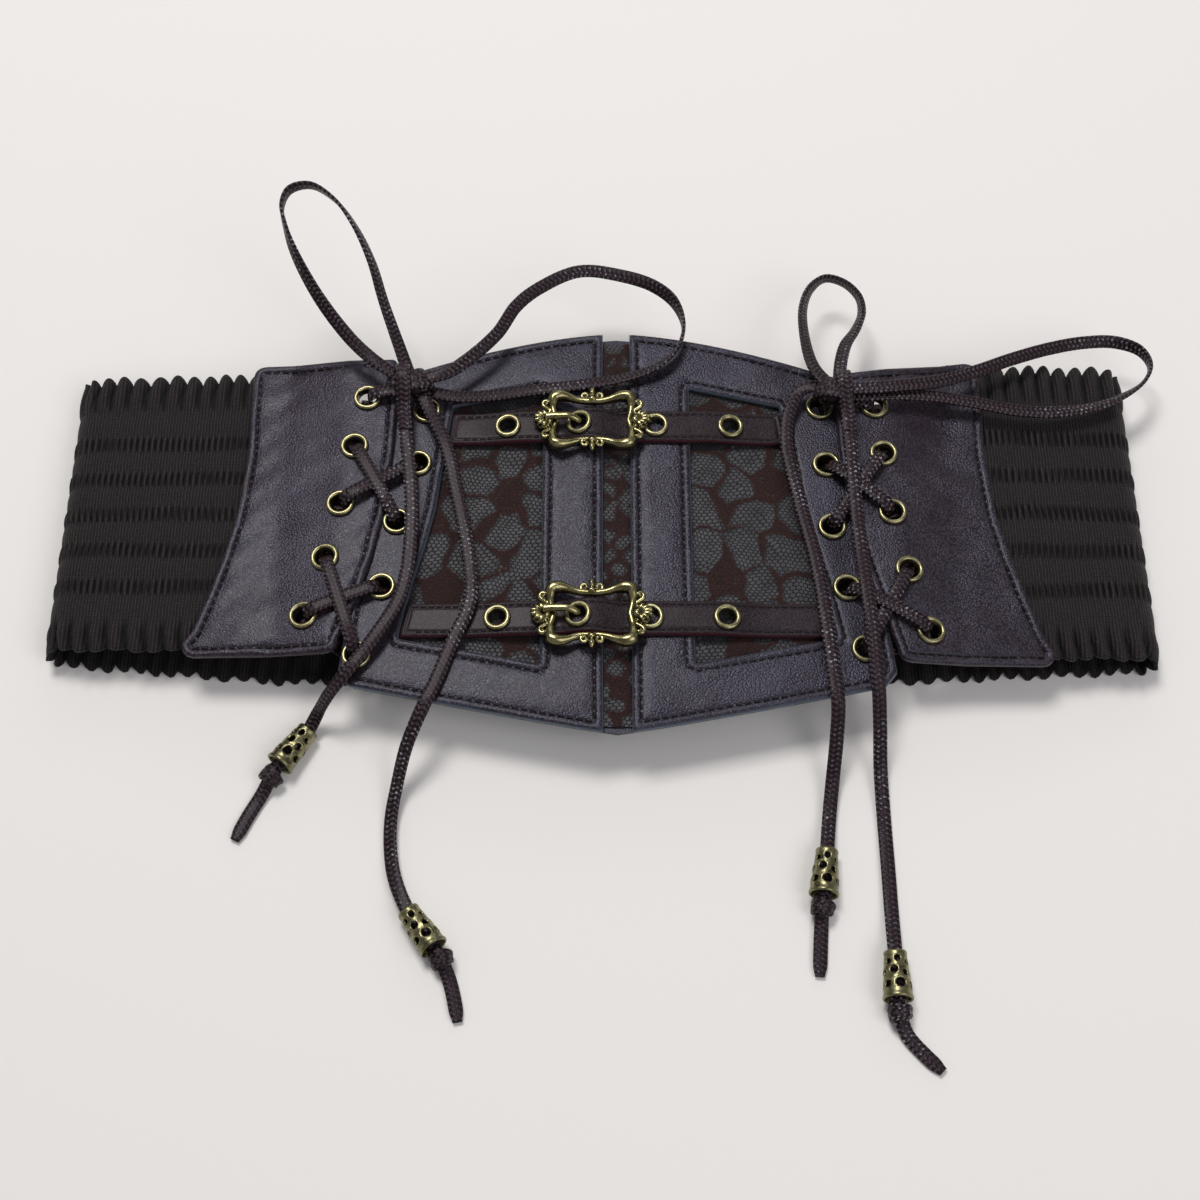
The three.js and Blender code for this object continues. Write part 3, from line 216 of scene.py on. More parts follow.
class Nodes:
    """Builds one procedural material."""

    def __init__(self, name, **values):
        self.mat = bpy.data.materials.new(name)
        self.mat.use_nodes = True
        self.tree = self.mat.node_tree
        self.tree.nodes.clear()
        out = self.tree.nodes.new("ShaderNodeOutputMaterial")
        self.shader = self.tree.nodes.new("ShaderNodeBsdfPrincipled")
        self.tree.links.new(self.shader.outputs[0], out.inputs[0])
        for key, value in values.items():
            self.set(key.replace("_", " "), value)

    def set(self, socket, value):
        self.into(self.shader.inputs[socket], value)

    def into(self, socket, value):
        """Links a value or writes a constant, a colour with its alpha."""
        if isinstance(value, Value):
            self.tree.links.new(value.socket, socket)
        elif isinstance(value, tuple) and len(socket.default_value) == 4:
            socket.default_value = (*value, 1)
        else:
            socket.default_value = value

    def node(self, kind, out=0, ins=None, **props):
        made = self.tree.nodes.new(kind)
        for key, value in props.items():
            setattr(made, key, value)
        for key, value in (ins or {}).items():
            self.into(made.inputs[key], value)
        return Value(self, made.outputs[out])

    def coords(self, which="Object"):
        return self.node("ShaderNodeTexCoord", which)

    def split(self, vector):
        return [self.node("ShaderNodeSeparateXYZ", k, {0: vector}) for k in (0, 1)]

    def field(self, name):
        return self.node("ShaderNodeAttribute", "Fac", attribute_name=name)

    def math(self, op, a, b=0.0):
        return self.node("ShaderNodeMath", ins={0: a, 1: b}, operation=op)

    def stretch(self, vector, scale):
        return self.node("ShaderNodeVectorMath", ins={0: vector, 1: scale}, operation="MULTIPLY")

    def noise(self, vector, scale, detail=2.0, rough=0.5):
        ins = {"Vector": vector, "Scale": scale, "Detail": detail, "Roughness": rough}
        return self.node("ShaderNodeTexNoise", "Fac", ins)

    def cells(self, vector, scale):
        return self.node("ShaderNodeTexVoronoi", "Distance", {"Vector": vector, "Scale": scale})

    def ramp(self, fac, *stops):
        """Greys or colours between the stops, each a place and a grey or colour."""
        made = self.tree.nodes.new("ShaderNodeValToRGB")
        elements = made.color_ramp.elements
        while len(elements) < len(stops):
            elements.new(0.5)
        for element, (place, colour) in zip(elements, stops):
            element.position = place
            element.color = (*(colour if isinstance(colour, tuple) else [colour] * 3), 1)
        self.into(made.inputs[0], fac)
        return Value(self, made.outputs[0])

    def mix(self, fac, a, b):
        return self.node("ShaderNodeMix", 2, {0: fac, 6: a, 7: b}, data_type="RGBA")

    def bump(self, height, distance, strength, under=None):
        ins = {"Height": height, "Distance": distance, "Strength": strength}
        if under is not None:
            ins["Normal"] = under
        return self.node("ShaderNodeBump", ins=ins)


def leather(name, dark, light, painted_sheen, rough=(0.33, 0.43), edge=None, tint=(0.72, 0.74, 1.0), gloss=0.44):
    """Grained leather from dark to light, with painted blue-grey sheen in broad patches, painted shade in its
    stitch groove and edge on its cut edge.
    """
    n = Nodes(name, Sheen_Weight=0.03, Coat_Weight=0.1, Coat_Roughness=0.22, IOR=1.52,
              Specular_Tint=tint, Specular_IOR_Level=gloss)
    place = n.coords()
    painted_sheen_patch = n.noise(place, 24, 3, 0.55)
    broad = n.noise(place, 70, 4, 0.6)
    fine = n.noise(place, 1100, 3, 0.65)
    grain = n.cells(place, 1450)
    colour = n.ramp(broad * 0.6 + fine * 0.4, (0.36, dark), (0.64, light))
    # Painted sheen: broad patches of blue-grey colour stand in for the leather's glossy highlights.
    colour = n.mix(n.ramp(painted_sheen_patch, (0.45, 0.0), (0.68, 0.6)), colour, painted_sheen)
    colour = n.mix(n.ramp(grain, (0.2, 0.0), (0.6, 0.9)), colour, tuple(c * 0.3 for c in dark))
    # Painted shade: the seam field darkens the stitch groove.
    colour = n.mix(n.field("seam") * 0.85, colour, (0.004, 0.002, 0.003))
    # Edge colour: a painted bluish highlight on the frames' cut edges, real edge paint on the straps.
    if edge:
        colour = n.mix(n.field("edge"), colour, edge)
    n.set("Base Color", colour)
    n.set("Roughness", n.ramp(n.noise(place, 260, 3), (0.3, rough[0]), (0.7, rough[1])))
    pebble = n.bump(grain * -1.0, 0.0002, 0.85)
    fold = n.bump(broad, 0.0009, 0.1, pebble)
    n.set("Normal", n.bump(n.noise(place, 42, 1), 0.005, 0.6, fold))
    return n.mat


BRAID_PERIOD, BRAID_LANES = 1.75, 1.5


def waxed_braid():
    """The laces' braid, drawn along their length and from -1 to 1 across, with painted glints on its ridges
    in some stretches.
    """
    n = Nodes("waxed_braid", Coat_Weight=0.08, Coat_Roughness=0.2, IOR=1.5,
              Specular_Tint=(0.85, 0.76, 0.9), Specular_IOR_Level=0.3)
    along, across = n.split(n.coords("UV"))
    lean = n.math("PINGPONG", (across + 1.0) * BRAID_LANES, 1.0)
    strand = n.math("SINE", (along / BRAID_PERIOD + lean * 0.5) * (2 * math.pi)) * 0.5 + 0.5
    lane = n.math("ABSOLUTE", n.math("SINE", across * (math.pi * BRAID_LANES)))
    weave = strand * (lane * 0.7 + 0.3)
    fine = n.noise(n.coords(), 2400, 2)
    glint_and_roughness_noise = n.noise(n.coords(), 700, 2)
    glint_patches = n.ramp(n.noise(n.coords(), 38, 2), (0.48, 0.1), (0.6, 1.0))
    colour = n.ramp(weave, (0.1, (0.003, 0.001, 0.0015)), (0.45, (0.018, 0.0075, 0.009)),
                    (0.9, (0.046, 0.022, 0.0255)))
    # Painted glints: light specks on the braid's ridges, in patches, stand in for highlights on the waxed
    # cord.
    painted_glints = n.ramp(weave, (0.45, 0.0), (0.9, 1.0)) * n.ramp(glint_and_roughness_noise * fine, (0.25, 0.0), (0.34, 0.75)) * glint_patches
    n.set("Base Color", n.mix(painted_glints, colour, (0.55, 0.54, 0.6)))
    n.set("Roughness", n.ramp(glint_and_roughness_noise, (0.35, 0.3), (0.7, 0.52)))
    n.set("Normal", n.bump(weave + fine * 0.25, 0.00042, 0.75))
    return n.mat


CORD_MAT = waxed_braid()

# Heights, as the frame has them

GAP = 0.3
FLAT_WIDTH, FOLD_HEIGHT, CROWN_RISE, FRONT_SHIFT = 369.0, 13.0, 3.8, 5.0
ELASTIC_WALL, BASE_WALL, LACE_WALL, FRAME_WALL, OUTER_WALL, STRAP_WALL = 1.8, 1.2, 1.0, 1.6, 1.8, 1.8
FOLD_RADIUS = FOLD_HEIGHT / 2
FOLD_X = FLAT_WIDTH / 2 - FOLD_RADIUS
LACE_OFFSET = BASE_WALL + GAP
FRAME_OFFSET = LACE_OFFSET + LACE_WALL + GAP
STRAP_OFFSET = FRAME_OFFSET + FRAME_WALL + GAP
BUCKLE_OFFSET = STRAP_OFFSET + STRAP_WALL + GAP
PANEL_UP, PANEL_DOWN, PANEL_REACH, OUTER_REACH, OUTER_DESCENT = 76.0, 76.5, 92.5, 143.0, 20.5


def under(x):
    """Underside of the front's backing, and of the elastic beside it, at X."""
    share = np.minimum(np.abs(x) / FOLD_X, 1)
    return FOLD_HEIGHT - ELASTIC_WALL + CROWN_RISE * (1 - share**2.5)


def outer_under(x):
    """Underside of an outer panel, which comes down from the front onto the elastic."""
    share = np.clip((np.abs(np.asarray(x) - FRONT_SHIFT) - PANEL_REACH - 1) / OUTER_DESCENT, 0, 1)
    return under(x) + STRAP_OFFSET + (ELASTIC_WALL + GAP - STRAP_OFFSET) * share


# Laces

CORD_WIDTH, CORD_THICKNESS, CORD_SIDES = 4.6, 1.4, 16
PINCH_LENGTH = 2.2


def braid_relief(along, across):
    """0 in the valleys of a flat braid, 1 on its ridges; across runs from -1 to 1."""
    peak = lambda turn: np.abs((turn % 1) - 0.5) * 2
    lane = peak(across * BRAID_LANES + 0.5)
    wave = peak(along / BRAID_PERIOD + lane * 0.5)
    return np.clip(wave * 0.8 + 0.3, 0, 1) * (0.45 + 0.55 * peak(across * BRAID_LANES))


def ribbon(parts, route, width=CORD_WIDTH, side=None, pinch=0.0):
    """A flat braided lace along route: x, y, z and the lean about its run in degrees.

    side fixes the way its width lies, and pinch narrows its last end by that share."""
    route = np.asarray([list(r) + [0] * (4 - len(r)) for r in route], float)
    line = spline(route, 0.55)
    p, lean = line[:, :3], np.radians(line[:, 3:])
    way = unit(np.gradient(p, axis=0))
    level = np.stack([way[:, 1], -way[:, 0], np.zeros(len(p))], 1)
    if side is not None:
        level = np.broadcast_to(np.asarray(side, float), p.shape)
    level = unit(level)
    across = level * np.cos(lean) + np.cross(way, level) * np.sin(lean)
    out = np.cross(way, across)
    along = lengths(p)
    turn = turns(CORD_SIDES) + np.pi / CORD_SIDES
    a, b = (np.sign(k) * np.abs(k) ** power for k, power in ((np.cos(turn), 0.75), (np.sin(turn), 0.62)))
    swell = 1 + 0.12 * (braid_relief(along[:, None], a) - 0.6)
    narrow = 1 - pinch * np.exp(-(((along[-1] - along) / PINCH_LENGTH) ** 2))[:, None, None]
    verts = (
        p[:, None]
        + across[:, None] * (a * width / 2)[:, None] * narrow
        + out[:, None] * (b * CORD_THICKNESS / 2 * swell)[..., None]
    )
    uvs = np.stack(np.broadcast_arrays(along[:, None], a), -1).reshape(-1, 2)
    parts.put(verts.reshape(-1, 3), grid_faces(len(p), CORD_SIDES, closed=True, capped=True), uvs)
    return p


LOOPS = {
    "left_bow_loop_tall": [
        (-66, 52, 25.4, 0), (-69.6, 62, 27.6, 20), (-76, 78.5, 35.2, 40), (-80, 90, 42.5, 50),
        (-85.5, 99.5, 50, 60), (-92, 106, 56, 70), (-100, 109, 60, 80), (-107, 107, 60, 90),
        (-109.5, 102, 58, 90), (-108.5, 96, 54, 80), (-105.5, 89, 47.5, 60), (-97.5, 77, 38.5, 40),
        (-86, 63.6, 32.4, 20), (-77, 56, 30.2, 0), (-70, 52, 28.6, 0)],
    "left_bow_loop_long": [
        (-62, 51.5, 27.8, 0), (-53.5, 53.5, 28.5, 15), (-46.5, 58.5, 29, 25), (-36.5, 69, 29.5, 30),
        (-30, 81, 29, 25), (-22, 89, 28.5, 20), (-8, 96.5, 28, 15), (7, 95.3, 27, 20),
        (18.5, 91.5, 26, 40), (25.5, 85.5, 25, 60), (28.7, 77, 24, 85), (27.7, 69.5, 24, 85),
        (24, 63.5, 23.5, 60), (17, 58.7, 22.5, 35), (6, 55.4, 21.6, 15), (-9, 53, 21.2, 5),
        (-24, 51, 21.2, 0), (-38, 48.5, 21.8, 0), (-50, 47.2, 23, 0), (-62, 49, 24.2, 0)],
    "right_bow_loop_short": [
        (77.5, 49, 28.6, 0), (73.5, 56, 27.6, 10), (71.5, 68.5, 24.5, 30), (72, 87, 19.5, 50),
        (76, 98, 16.5, 70), (81.5, 102.6, 15.5, 90), (87.8, 100.5, 15.5, 90), (92.4, 94, 16.5, 80),
        (93, 86, 18, 60), (90, 77, 20.5, 40), (85.6, 68.5, 23.4, 20), (83, 59, 26.4, 10),
        (81.5, 49, 28.6, 0)],
    "right_bow_loop_long": [
        (82, 47, 28.4, 0), (92, 47.6, 28.2, 0), (104, 49, 27.6, 5), (117, 51.5, 26.4, 15),
        (130, 56.5, 24.6, 20), (143.5, 63, 22.4, 20), (157.5, 68.8, 20.2, 20), (171, 72.8, 18.2, 30),
        (183, 74, 16.6, 50), (191.5, 71, 15.6, 75), (194.3, 65, 15.4, 90), (191.5, 58.5, 15.8, 80),
        (184, 52.3, 16.6, 50), (172, 46.2, 18.4, 25), (158, 43, 19.8, 5), (144, 42.8, 21, 0),
        (129, 45, 22.6, 0), (114, 46.6, 24.4, 0), (98, 46.4, 25.6, 0), (82, 45.6, 26, 0)],
}

# the point at which each tail's bead starts, and the tail's route
TAILS = {
    "left_tail_outer": (12, [
        (-67, 49, 25.6), (-68, 42, 24.6), (-66.8, 29.4, 24.4), (-64.8, 14, 24.2), (-63.8, -1.4, 23.6),
        (-64.3, -19.9, 23.4), (-66.6, -31, 23.6), (-71, -40, 23.8), (-76.8, -49, 23), (-83.6, -57.6, 21.2),
        (-89.6, -62, 13.5), (-93.4, -65, 6.4), (-96.2, -69.2, 3.7), (-100.6, -75.6, 4.2),
        (-104.9, -81.9, 4.8), (-107, -85, 3.6), (-110, -90.4, 1.2), (-114, -98, 0.9), (-117.6, -106, 0.9)]),
    "left_tail_inner": (15, [
        (-62.5, 48, 25.6), (-60, 42, 24.8), (-53.5, 28.4, 22.4), (-49.3, 11, 21.2), (-46, -4.4, 21),
        (-43.6, -20, 21.2), (-43.6, -32, 21.6), (-48.6, -44.9, 21), (-53.2, -58, 20.8),
        (-57.6, -68.5, 20.4), (-62.6, -78.6, 14, 10), (-66, -88.5, 5.4, 20), (-67.8, -99, 2, 20),
        (-67.4, -110, 1.8, 20), (-65.4, -119.5, 2.6, 10), (-60.8, -129.8, 3.7), (-56.4, -135.9, 4.2),
        (-52, -142, 4.8), (-50, -145, 3.6), (-47.4, -150.6, 1.2), (-45.6, -157, 0.9), (-44.2, -164, 0.9)]),
    "right_tail_inner": (16, [
        (77, 48.2, 26), (71.5, 49.6, 25.6), (67.6, 47.4, 24.4), (65, 42.4, 22.8), (63.6, 36, 21.8),
        (63.4, 28, 21.2), (64.6, 20, 20.9), (67.6, 2.8, 20.8), (70.8, -13.5, 20.8), (72.6, -28.2, 20.8),
        (73.9, -43, 20.8), (74.9, -57, 20.6), (75.6, -66, 19.9), (75.4, -76, 12), (74.4, -87, 4),
        (73, -98, 2), (71.4, -110.2, 3.7), (70.4, -117.6, 4.2), (69.4, -125, 4.8), (68.9, -128.6, 3.6),
        (68.5, -134.6, 1.2), (67.9, -142, 0.9), (67.3, -150, 0.9)]),
    "right_tail_outer": (15, [
        (82.6, 44.5, 26.6), (84, 38, 26.4), (84.4, 28, 26.2), (84.6, 14, 26.2), (85, 0, 25.4),
        (85.6, -14, 25.4), (86.4, -28, 26.2), (87.2, -40, 25.8), (88, -52, 23.2), (88.8, -62, 20.4),
        (89.6, -72, 12.6), (90.2, -83, 4), (90.6, -96, 1), (90.8, -115, 0.9), (90.8, -130, 1.4),
        (90.6, -143, 3.7), (90.5, -150.5, 4.2), (90.4, -158, 4.8), (90.6, -161.6, 3.6), (93, -168, 1.2),
        (97.6, -173.6, 0.9), (103, -179, 0.9)]),
}


for name, route in LOOPS.items():
    parts = Parts()
    line = ribbon(parts, route)
    piece = settle(parts.done(name), CORD_MAT, "braided_lace_cord", name)
    float(lengths(line)[-1]) * MM

# Flat pieces


def resample(points, step):
    """Points at equal steps round an outline."""
    p = np.asarray(points, float)
    p = np.vstack([p, p[:1]])
    far = lengths(p)
    at = np.linspace(0, far[-1], max(8, round(far[-1] / step)), endpoint=False)
    return np.stack([np.interp(at, far, p[:, k]) for k in range(2)], 1)


BATCH = 2000


def distance(points, loops):
    """How far each point is from the nearest edge of the loops."""
    best = np.full(len(points), 1e9)
    for loop in loops:
        a, d = loop, np.roll(loop, -1, axis=0) - loop
        length = (d**2).sum(1) + 1e-12
        for s in range(0, len(points), BATCH):
            p = points[s : s + BATCH, None]
            t = np.clip(((p - a) * d).sum(-1) / length, 0, 1)
            near = np.sqrt((((a + d * t[..., None]) - p) ** 2).sum(-1)).min(1)
            best[s : s + BATCH] = np.minimum(best[s : s + BATCH], near)
    return best


def within(points, loops):
    """Even-odd test: inside the outline and outside its holes."""
    odd = np.zeros(len(points), bool)
    for loop in loops:
        a, b = loop, np.roll(loop, -1, axis=0)
        for s in range(0, len(points), BATCH):
            p = points[s : s + BATCH, None]
            cross = (a[:, 1] > p[..., 1]) != (b[:, 1] > p[..., 1])
            x = a[:, 0] + (p[..., 1] - a[:, 1]) * (b[:, 0] - a[:, 0]) / (b[:, 1] - a[:, 1] + 1e-15)
            odd[s : s + BATCH] ^= ((cross & (p[..., 0] < x)).sum(1) % 2).astype(bool)
    return odd


def rings(loops, depth):
    """Each loop moved inwards by depth, and which of its points stay clear of the other edges."""
    found = []
    for i, loop in enumerate(loops):
        after, before = np.roll(loop, -1, axis=0), np.roll(loop, 1, axis=0)
        way = unit(after - before)
        turn = (loop[:, 0] * after[:, 1] - after[:, 0] * loop[:, 1]).sum()
        outward = np.stack([way[:, 1], -way[:, 0]], 1) * np.sign(turn)
        ring = loop - outward * depth * (1 if i == 0 else -1)
        found.append((ring, (distance(ring, loops) > depth - 0.03) & within(ring, loops)))
    return found


def fill(loops, extra):
    """Triangles between the loops, through the extra points."""
    points = np.vstack([*loops, extra])
    edges, start = [], 0
    for loop in loops:
        n = len(loop)
        edges += [(start + i, start + (i + 1) % n) for i in range(n)]
        start += n
    flat = [Vector((float(x), float(y))) for x, y in points]
    verts, _, faces, *_ = delaunay_2d_cdt(flat, edges, [], 0, 1e-4)
    verts = np.array([(v.x, v.y) for v in verts])
    faces = np.array(faces)
    return verts, faces[within(verts[faces].mean(1), loops)]


def waver(points, seed):
    """Smooth random field, from -1 to 1, with lumps about 9 mm wide."""
    rng = np.random.default_rng(seed)
    total = np.zeros(len(points))
    for _ in range(9):
        wave, phase = rng.normal(0, 0.32, 2), rng.uniform(0, 6.28)
        total += np.sin(points @ wave + phase)
    return total / 4.5


def weld(thing, bridges=()):
    """Adds bridging faces, joins points that lie on each other and turns all faces out."""
    work = bmesh.new()
    work.from_mesh(thing.data)
    work.verts.ensure_lookup_table()
    for corners in bridges:
        work.faces.new([work.verts[i] for i in corners])
    bmesh.ops.remove_doubles(work, verts=work.verts, dist=0.02 * MM)
    bmesh.ops.recalc_face_normals(work, faces=work.faces)
    work.to_mesh(thing.data)
    work.free()
    thing.data.shade_smooth()


# place along a stitch, thickness and lift as shares of its length and radius
STITCH_ROWS = [(-0.5, 0.35, -0.8), (-0.34, 1, -0.1), (0, 1.1, 0.15), (0.34, 1, -0.1), (0.5, 0.35, -0.8)]


def capsule(parts, place, way, length, radius):
    """One stitch: a short thread that dips at both ends."""
    way = unit(way)
    side = unit(np.cross((0, 0, 1.0), way))
    rise = np.cross(way, side)
    verts = []
    for at, fat, lift in STITCH_ROWS:
        mid = place + way * at * length + rise * lift * radius
        verts += [mid + (side * math.cos(t) + rise * math.sin(t)) * radius * fat for t in turns(6)]
    parts.put(verts, grid_faces(5, 6, closed=True, capped=True))


def runs_of(ring, keep):
    """The unbroken stretches of a closed ring's kept points."""
    runs, run = [], []
    for k in np.roll(np.arange(len(ring)), -int(np.argmin(keep))):
        if keep[k]:
            run.append(ring[k])
        elif run:
            runs.append(run)
            run = []
    if run:
        runs.append(run + ([run[0]] if keep.all() else []))
    return [np.array(run) for run in runs if len(run) > 3]


def stitches(name, loops, depth, height, pitch=3.0, length=2.3, radius=0.33, skip=lambda x, y: False):
    """Stitches in a line at a depth from the edges; height gives the leather's top there."""
    parts = Parts()
    for line in [run for ring, keep in rings(loops, depth) for run in runs_of(ring, keep)]:
        far = lengths(line)
        count = int(far[-1] / pitch)
        for s in (np.arange(count) + 0.5) * far[-1] / max(count, 1):
            here, ahead = ([np.interp(at, far, line[:, k]) for k in (0, 1)] for at in (s, s + 0.4))
            if not skip(*here):
                start, end = (np.array([x, y, height(x)]) for x, y in (here, ahead))
                capsule(parts, start, end - start, length, radius)
    settle(parts.done(name), THREAD, "plum_leather")


# depth from the edge in mm, height as a share of the sheet's wall
WELT = [(0, 0.5), (0.22, 0.82), (0.6, 1.0), (1.2, 1.07), (2.0, 1.05), (2.5, 0.93), (2.85, 0.78), (3.25, 0.92),
        (4.1, 1.0)]
PLAIN = [(0, 0.5), (0.22, 0.85), (0.6, 1.0), (1.2, 1.03), (1.6, 0.85), (2.0, 1.0), (3.0, 1.0)]
WELT_SEAM, PLAIN_SEAM = 2.85, 1.6
HOLE_STEP, BACK_GAP = 0.8, 0.02


def sheet_of(name, outline, holes, bores, base, wall, mat, slot, seed, lumps,
             profile=WELT, seam=WELT_SEAM, step=1.1, spread=3.2):
    """A sheet of leather, and the loops of its outline and holes.

    Outline and holes have rounded, stitched-down edges, bores have sharp ones, and base
    gives the sheet's underside at X."""
    edges = [resample(outline, step)] + [resample(h, HOLE_STEP) for h in holes]
    loops = edges + [resample(b, HOLE_STEP) for b in bores]
    sharp = loops[len(edges):]
    depths, shares = np.array(profile).T
    extra = [ring[keep] for d in depths[1:] for ring, keep in rings(edges, d)]
    extra = [e[within(e, loops) & (distance(e, sharp) > 0.3)] for e in extra]
    extra += [ring[keep] for ring, keep in rings(loops, 0.5)[len(edges):]]
    columns, rows = (np.arange(a, b, spread) for a, b in zip(loops[0].min(0), loops[0].max(0)))
    inner = lattice(columns, rows)
    inner[:, 0] += (np.arange(len(inner)) // len(columns) % 2) * spread / 2
    inner = inner[within(inner, loops)]
    inner = inner[(distance(inner, edges) > depths[-1] + spread * 0.3) & (distance(inner, loops) > 1.2)]
    verts, faces = fill(loops, np.vstack([*extra, inner]))
    depth = distance(verts, edges)
    soft = np.clip(depth / 3, 0, 1) * lumps * waver(verts, seed)
    soft *= np.clip((distance(verts, sharp) - 1.5) / 7, 0, 1)
    z = base(verts[:, 0]) + np.interp(depth, depths, shares * wall) + soft
    flat, back = fill(loops, inner[::3])
    parts = Parts()
    # rim marks the cut edge for its edge colour, groove the stitch groove for its painted shade.
    rim, groove = np.clip(1 - depth / 0.45, 0, 1), np.exp(-(((depth - seam) / 0.4) ** 2))
    parts.put(np.column_stack([verts, z]), faces, edge=rim, seam=groove)
    parts.put(np.column_stack([flat, base(flat[:, 0]) + BACK_GAP]), back[:, ::-1], edge=0)
    for i, loop in enumerate(loops):
        rounded = i < len(edges)
        heights = shares[0] * wall if rounded else wall, BACK_GAP
        verts = np.vstack([np.column_stack([loop, base(loop[:, 0]) + h]) for h in heights])
        parts.put(verts, grid_faces(2, len(loop), closed=True), edge=float(rounded))
    made = parts.done(name)
    weld(made)
    settle(made, mat, slot, name)
    return edges


# Outlines, as the frame has them


def table(rows, value, key, wanted):
    """Reads one column of a table at a value in its key column."""
    rows = np.array(sorted(rows, key=lambda row: row[key]), float)
    return np.interp(value, rows[:, key], rows[:, wanted])


WINDOW_REACH, WINDOW_INNER, WINDOW_UP, WINDOW_DOWN, STRIP_EDGE = 71.7, 25.3, 53.0, 52.0, 4.7
# up as a share of WINDOW_UP, reach as a share of WINDOW_REACH
WINDOW_EDGES = [(0.86, 0.79), (0.62, 0.81), (0.36, 0.833), (0.09, 0.855), (-0.19, 0.9), (-0.45, 0.95),
                (-0.81, 1)]
# up as a share of PANEL_UP, laced edge as a share of PANEL_REACH, far edge as a share of OUTER_REACH
OUTER_EDGES = [(0.83, 0.8317, 0.893), (0.59, 0.8209, 0.893), (0.37, 0.8255, 0.888), (0.05, 0.8472, 0.901),
               (-0.18, 0.8812, 0.926), (-0.36, 0.9183, 0.952), (-0.53, 0.9662, 0.98), (-0.65, 0.9848, 1)]
SIDES = {
    "left": dict(hand=-1, laced=0.845, far=0.835, low=-0.64,
                 outer=[(0.628, 0.934), (0.374, 0.971), (0.079, 1.008), (-0.186, 1.051), (-0.462, 1.114)],
                 inner=[(0.572, 0.711), (0.297, 0.735), (0, 0.801), (-0.321, 0.844), (-0.646, 0.918)]),
    "right": dict(hand=1, laced=0.765, far=0.855, low=-0.68,
                  outer=[(0.586, 0.966), (0.337, 0.986), (0.038, 1.002), (-0.245, 1.046), (-0.534, 1.106)],
                  inner=[(0.593, 0.762), (0.292, 0.774), (-0.025, 0.782), (-0.326, 0.822), (-0.617, 0.874)]),
}


def placed(hand, points):
    """X and Y of points given by how far out they are from the front's middle."""
    return [(FRONT_SHIFT + hand * out, y) for out, y in points]


def front_top(out):
    return PANEL_UP * (1 - 0.3246 * (out / PANEL_REACH) ** 1.6)


def front_low(out):
    return -PANEL_DOWN * (1 - 0.234 * (out / PANEL_REACH) ** 1.1)


def front_end(y):
    return PANEL_REACH * (1 - 0.082 * (1 + y / PANEL_DOWN))


def front_outline(hand):
    corner, steps, reach = 4, 14, 0.76
    sides = []
    for edge, end, turn in ((front_top, front_end(PANEL_UP * reach), -corner),
                            (front_low, front_end(-PANEL_DOWN * reach), corner)):
        outs = np.linspace(STRIP_EDGE, end - corner, steps)
        sides.append([(out, edge(out)) for out in outs] + [(end, edge(end) + turn)])
    return placed(hand, sides[0] + sides[1][::-1])


def window_out(y):
    return WINDOW_REACH * table(WINDOW_EDGES, y / WINDOW_UP, 0, 1)


def window_outline(hand, grow):
    outer = [[WINDOW_REACH * r + grow, WINDOW_UP * u] for u, r in WINDOW_EDGES]
    outer[0][1] += grow
    outer[-1][1] -= grow
    inner = WINDOW_INNER - grow
    return placed(hand, [(inner, WINDOW_UP + grow), *outer, (inner, -WINDOW_DOWN - grow)])


def outer_outline(side):
    corner, steps = 5.0, 26
    low, laced_top, far_top = (side[key] * PANEL_UP for key in ("low", "laced", "far"))
    laced = lambda y: PANEL_REACH * table(OUTER_EDGES, y / PANEL_UP, 0, 1)
    far = lambda y: OUTER_REACH * table(OUTER_EDGES, y / PANEL_UP, 0, 2)

    def bend(*corners):
        a, m, b = np.array(corners)
        return [tuple((1 - t) ** 2 * a + 2 * t * (1 - t) * m + t * t * b) for t in np.linspace(0, 1, 7)]

    points = bend((laced(low) + corner, low), (laced(low), low), (laced(low), low + corner))
    points += [(laced(y), y) for y in np.linspace(low + corner, laced_top - 1, steps)[1:]]
    points += [(laced(laced_top) + 1, laced_top)]
    end = far(far_top)
    points += bend((end - corner, far_top), (end, far_top), (end, far_top - corner))
    points += [(far(y), y) for y in np.linspace(far_top - corner, low + corner, steps)[1:-1]]
    points += bend((far(low), low + corner), (far(low), low), (far(low) - corner, low))
    return placed(side["hand"], points)


def circle(x, y, radius, count=28):
    return np.stack([x + radius * np.cos(turns(count)), y + radius * np.sin(turns(count))], 1)


def eyelet_places(side, which):
    return placed(side["hand"], [(PANEL_REACH * out, PANEL_UP * up) for up, out in side[which]])


BUCKLE_SHIFT, BUCKLE_WIDTH, BUCKLE_HEIGHT, BUCKLE_BAR = -3.8, 28.8, 21.6, 2.3
STRAP_ROW, STRAP_WIDTH, STRAP_ARCH, ARCH_REACH = 36.5, 12.2, 2.6, BUCKLE_WIDTH * 0.39


def strap_under(x):
    """Underside of a strap, which sinks from the frames into the windows and arches over its buckle's bar."""
    far = np.abs(np.asarray(x, float) - FRONT_SHIFT)
    t = np.clip((far - WINDOW_INNER - 4) / (WINDOW_REACH * 0.72 - WINDOW_INNER - 4), 0, 1)
    share = t * t * (3 - 2 * t)
    arched = np.maximum(0, 1 - ((x - BUCKLE_SHIFT) / ARCH_REACH) ** 2)
    return under(x) + STRAP_OFFSET + (FRAME_OFFSET - STRAP_OFFSET) * share + STRAP_ARCH * arched**2


def frame_under(x):
    return under(x) + FRAME_OFFSET


# Leather

# The third colour of each leather is its painted blue-grey sheen.
PLUM = leather("plum_leather", (0.021, 0.009, 0.012), (0.054, 0.027, 0.033), (0.06, 0.05, 0.064))
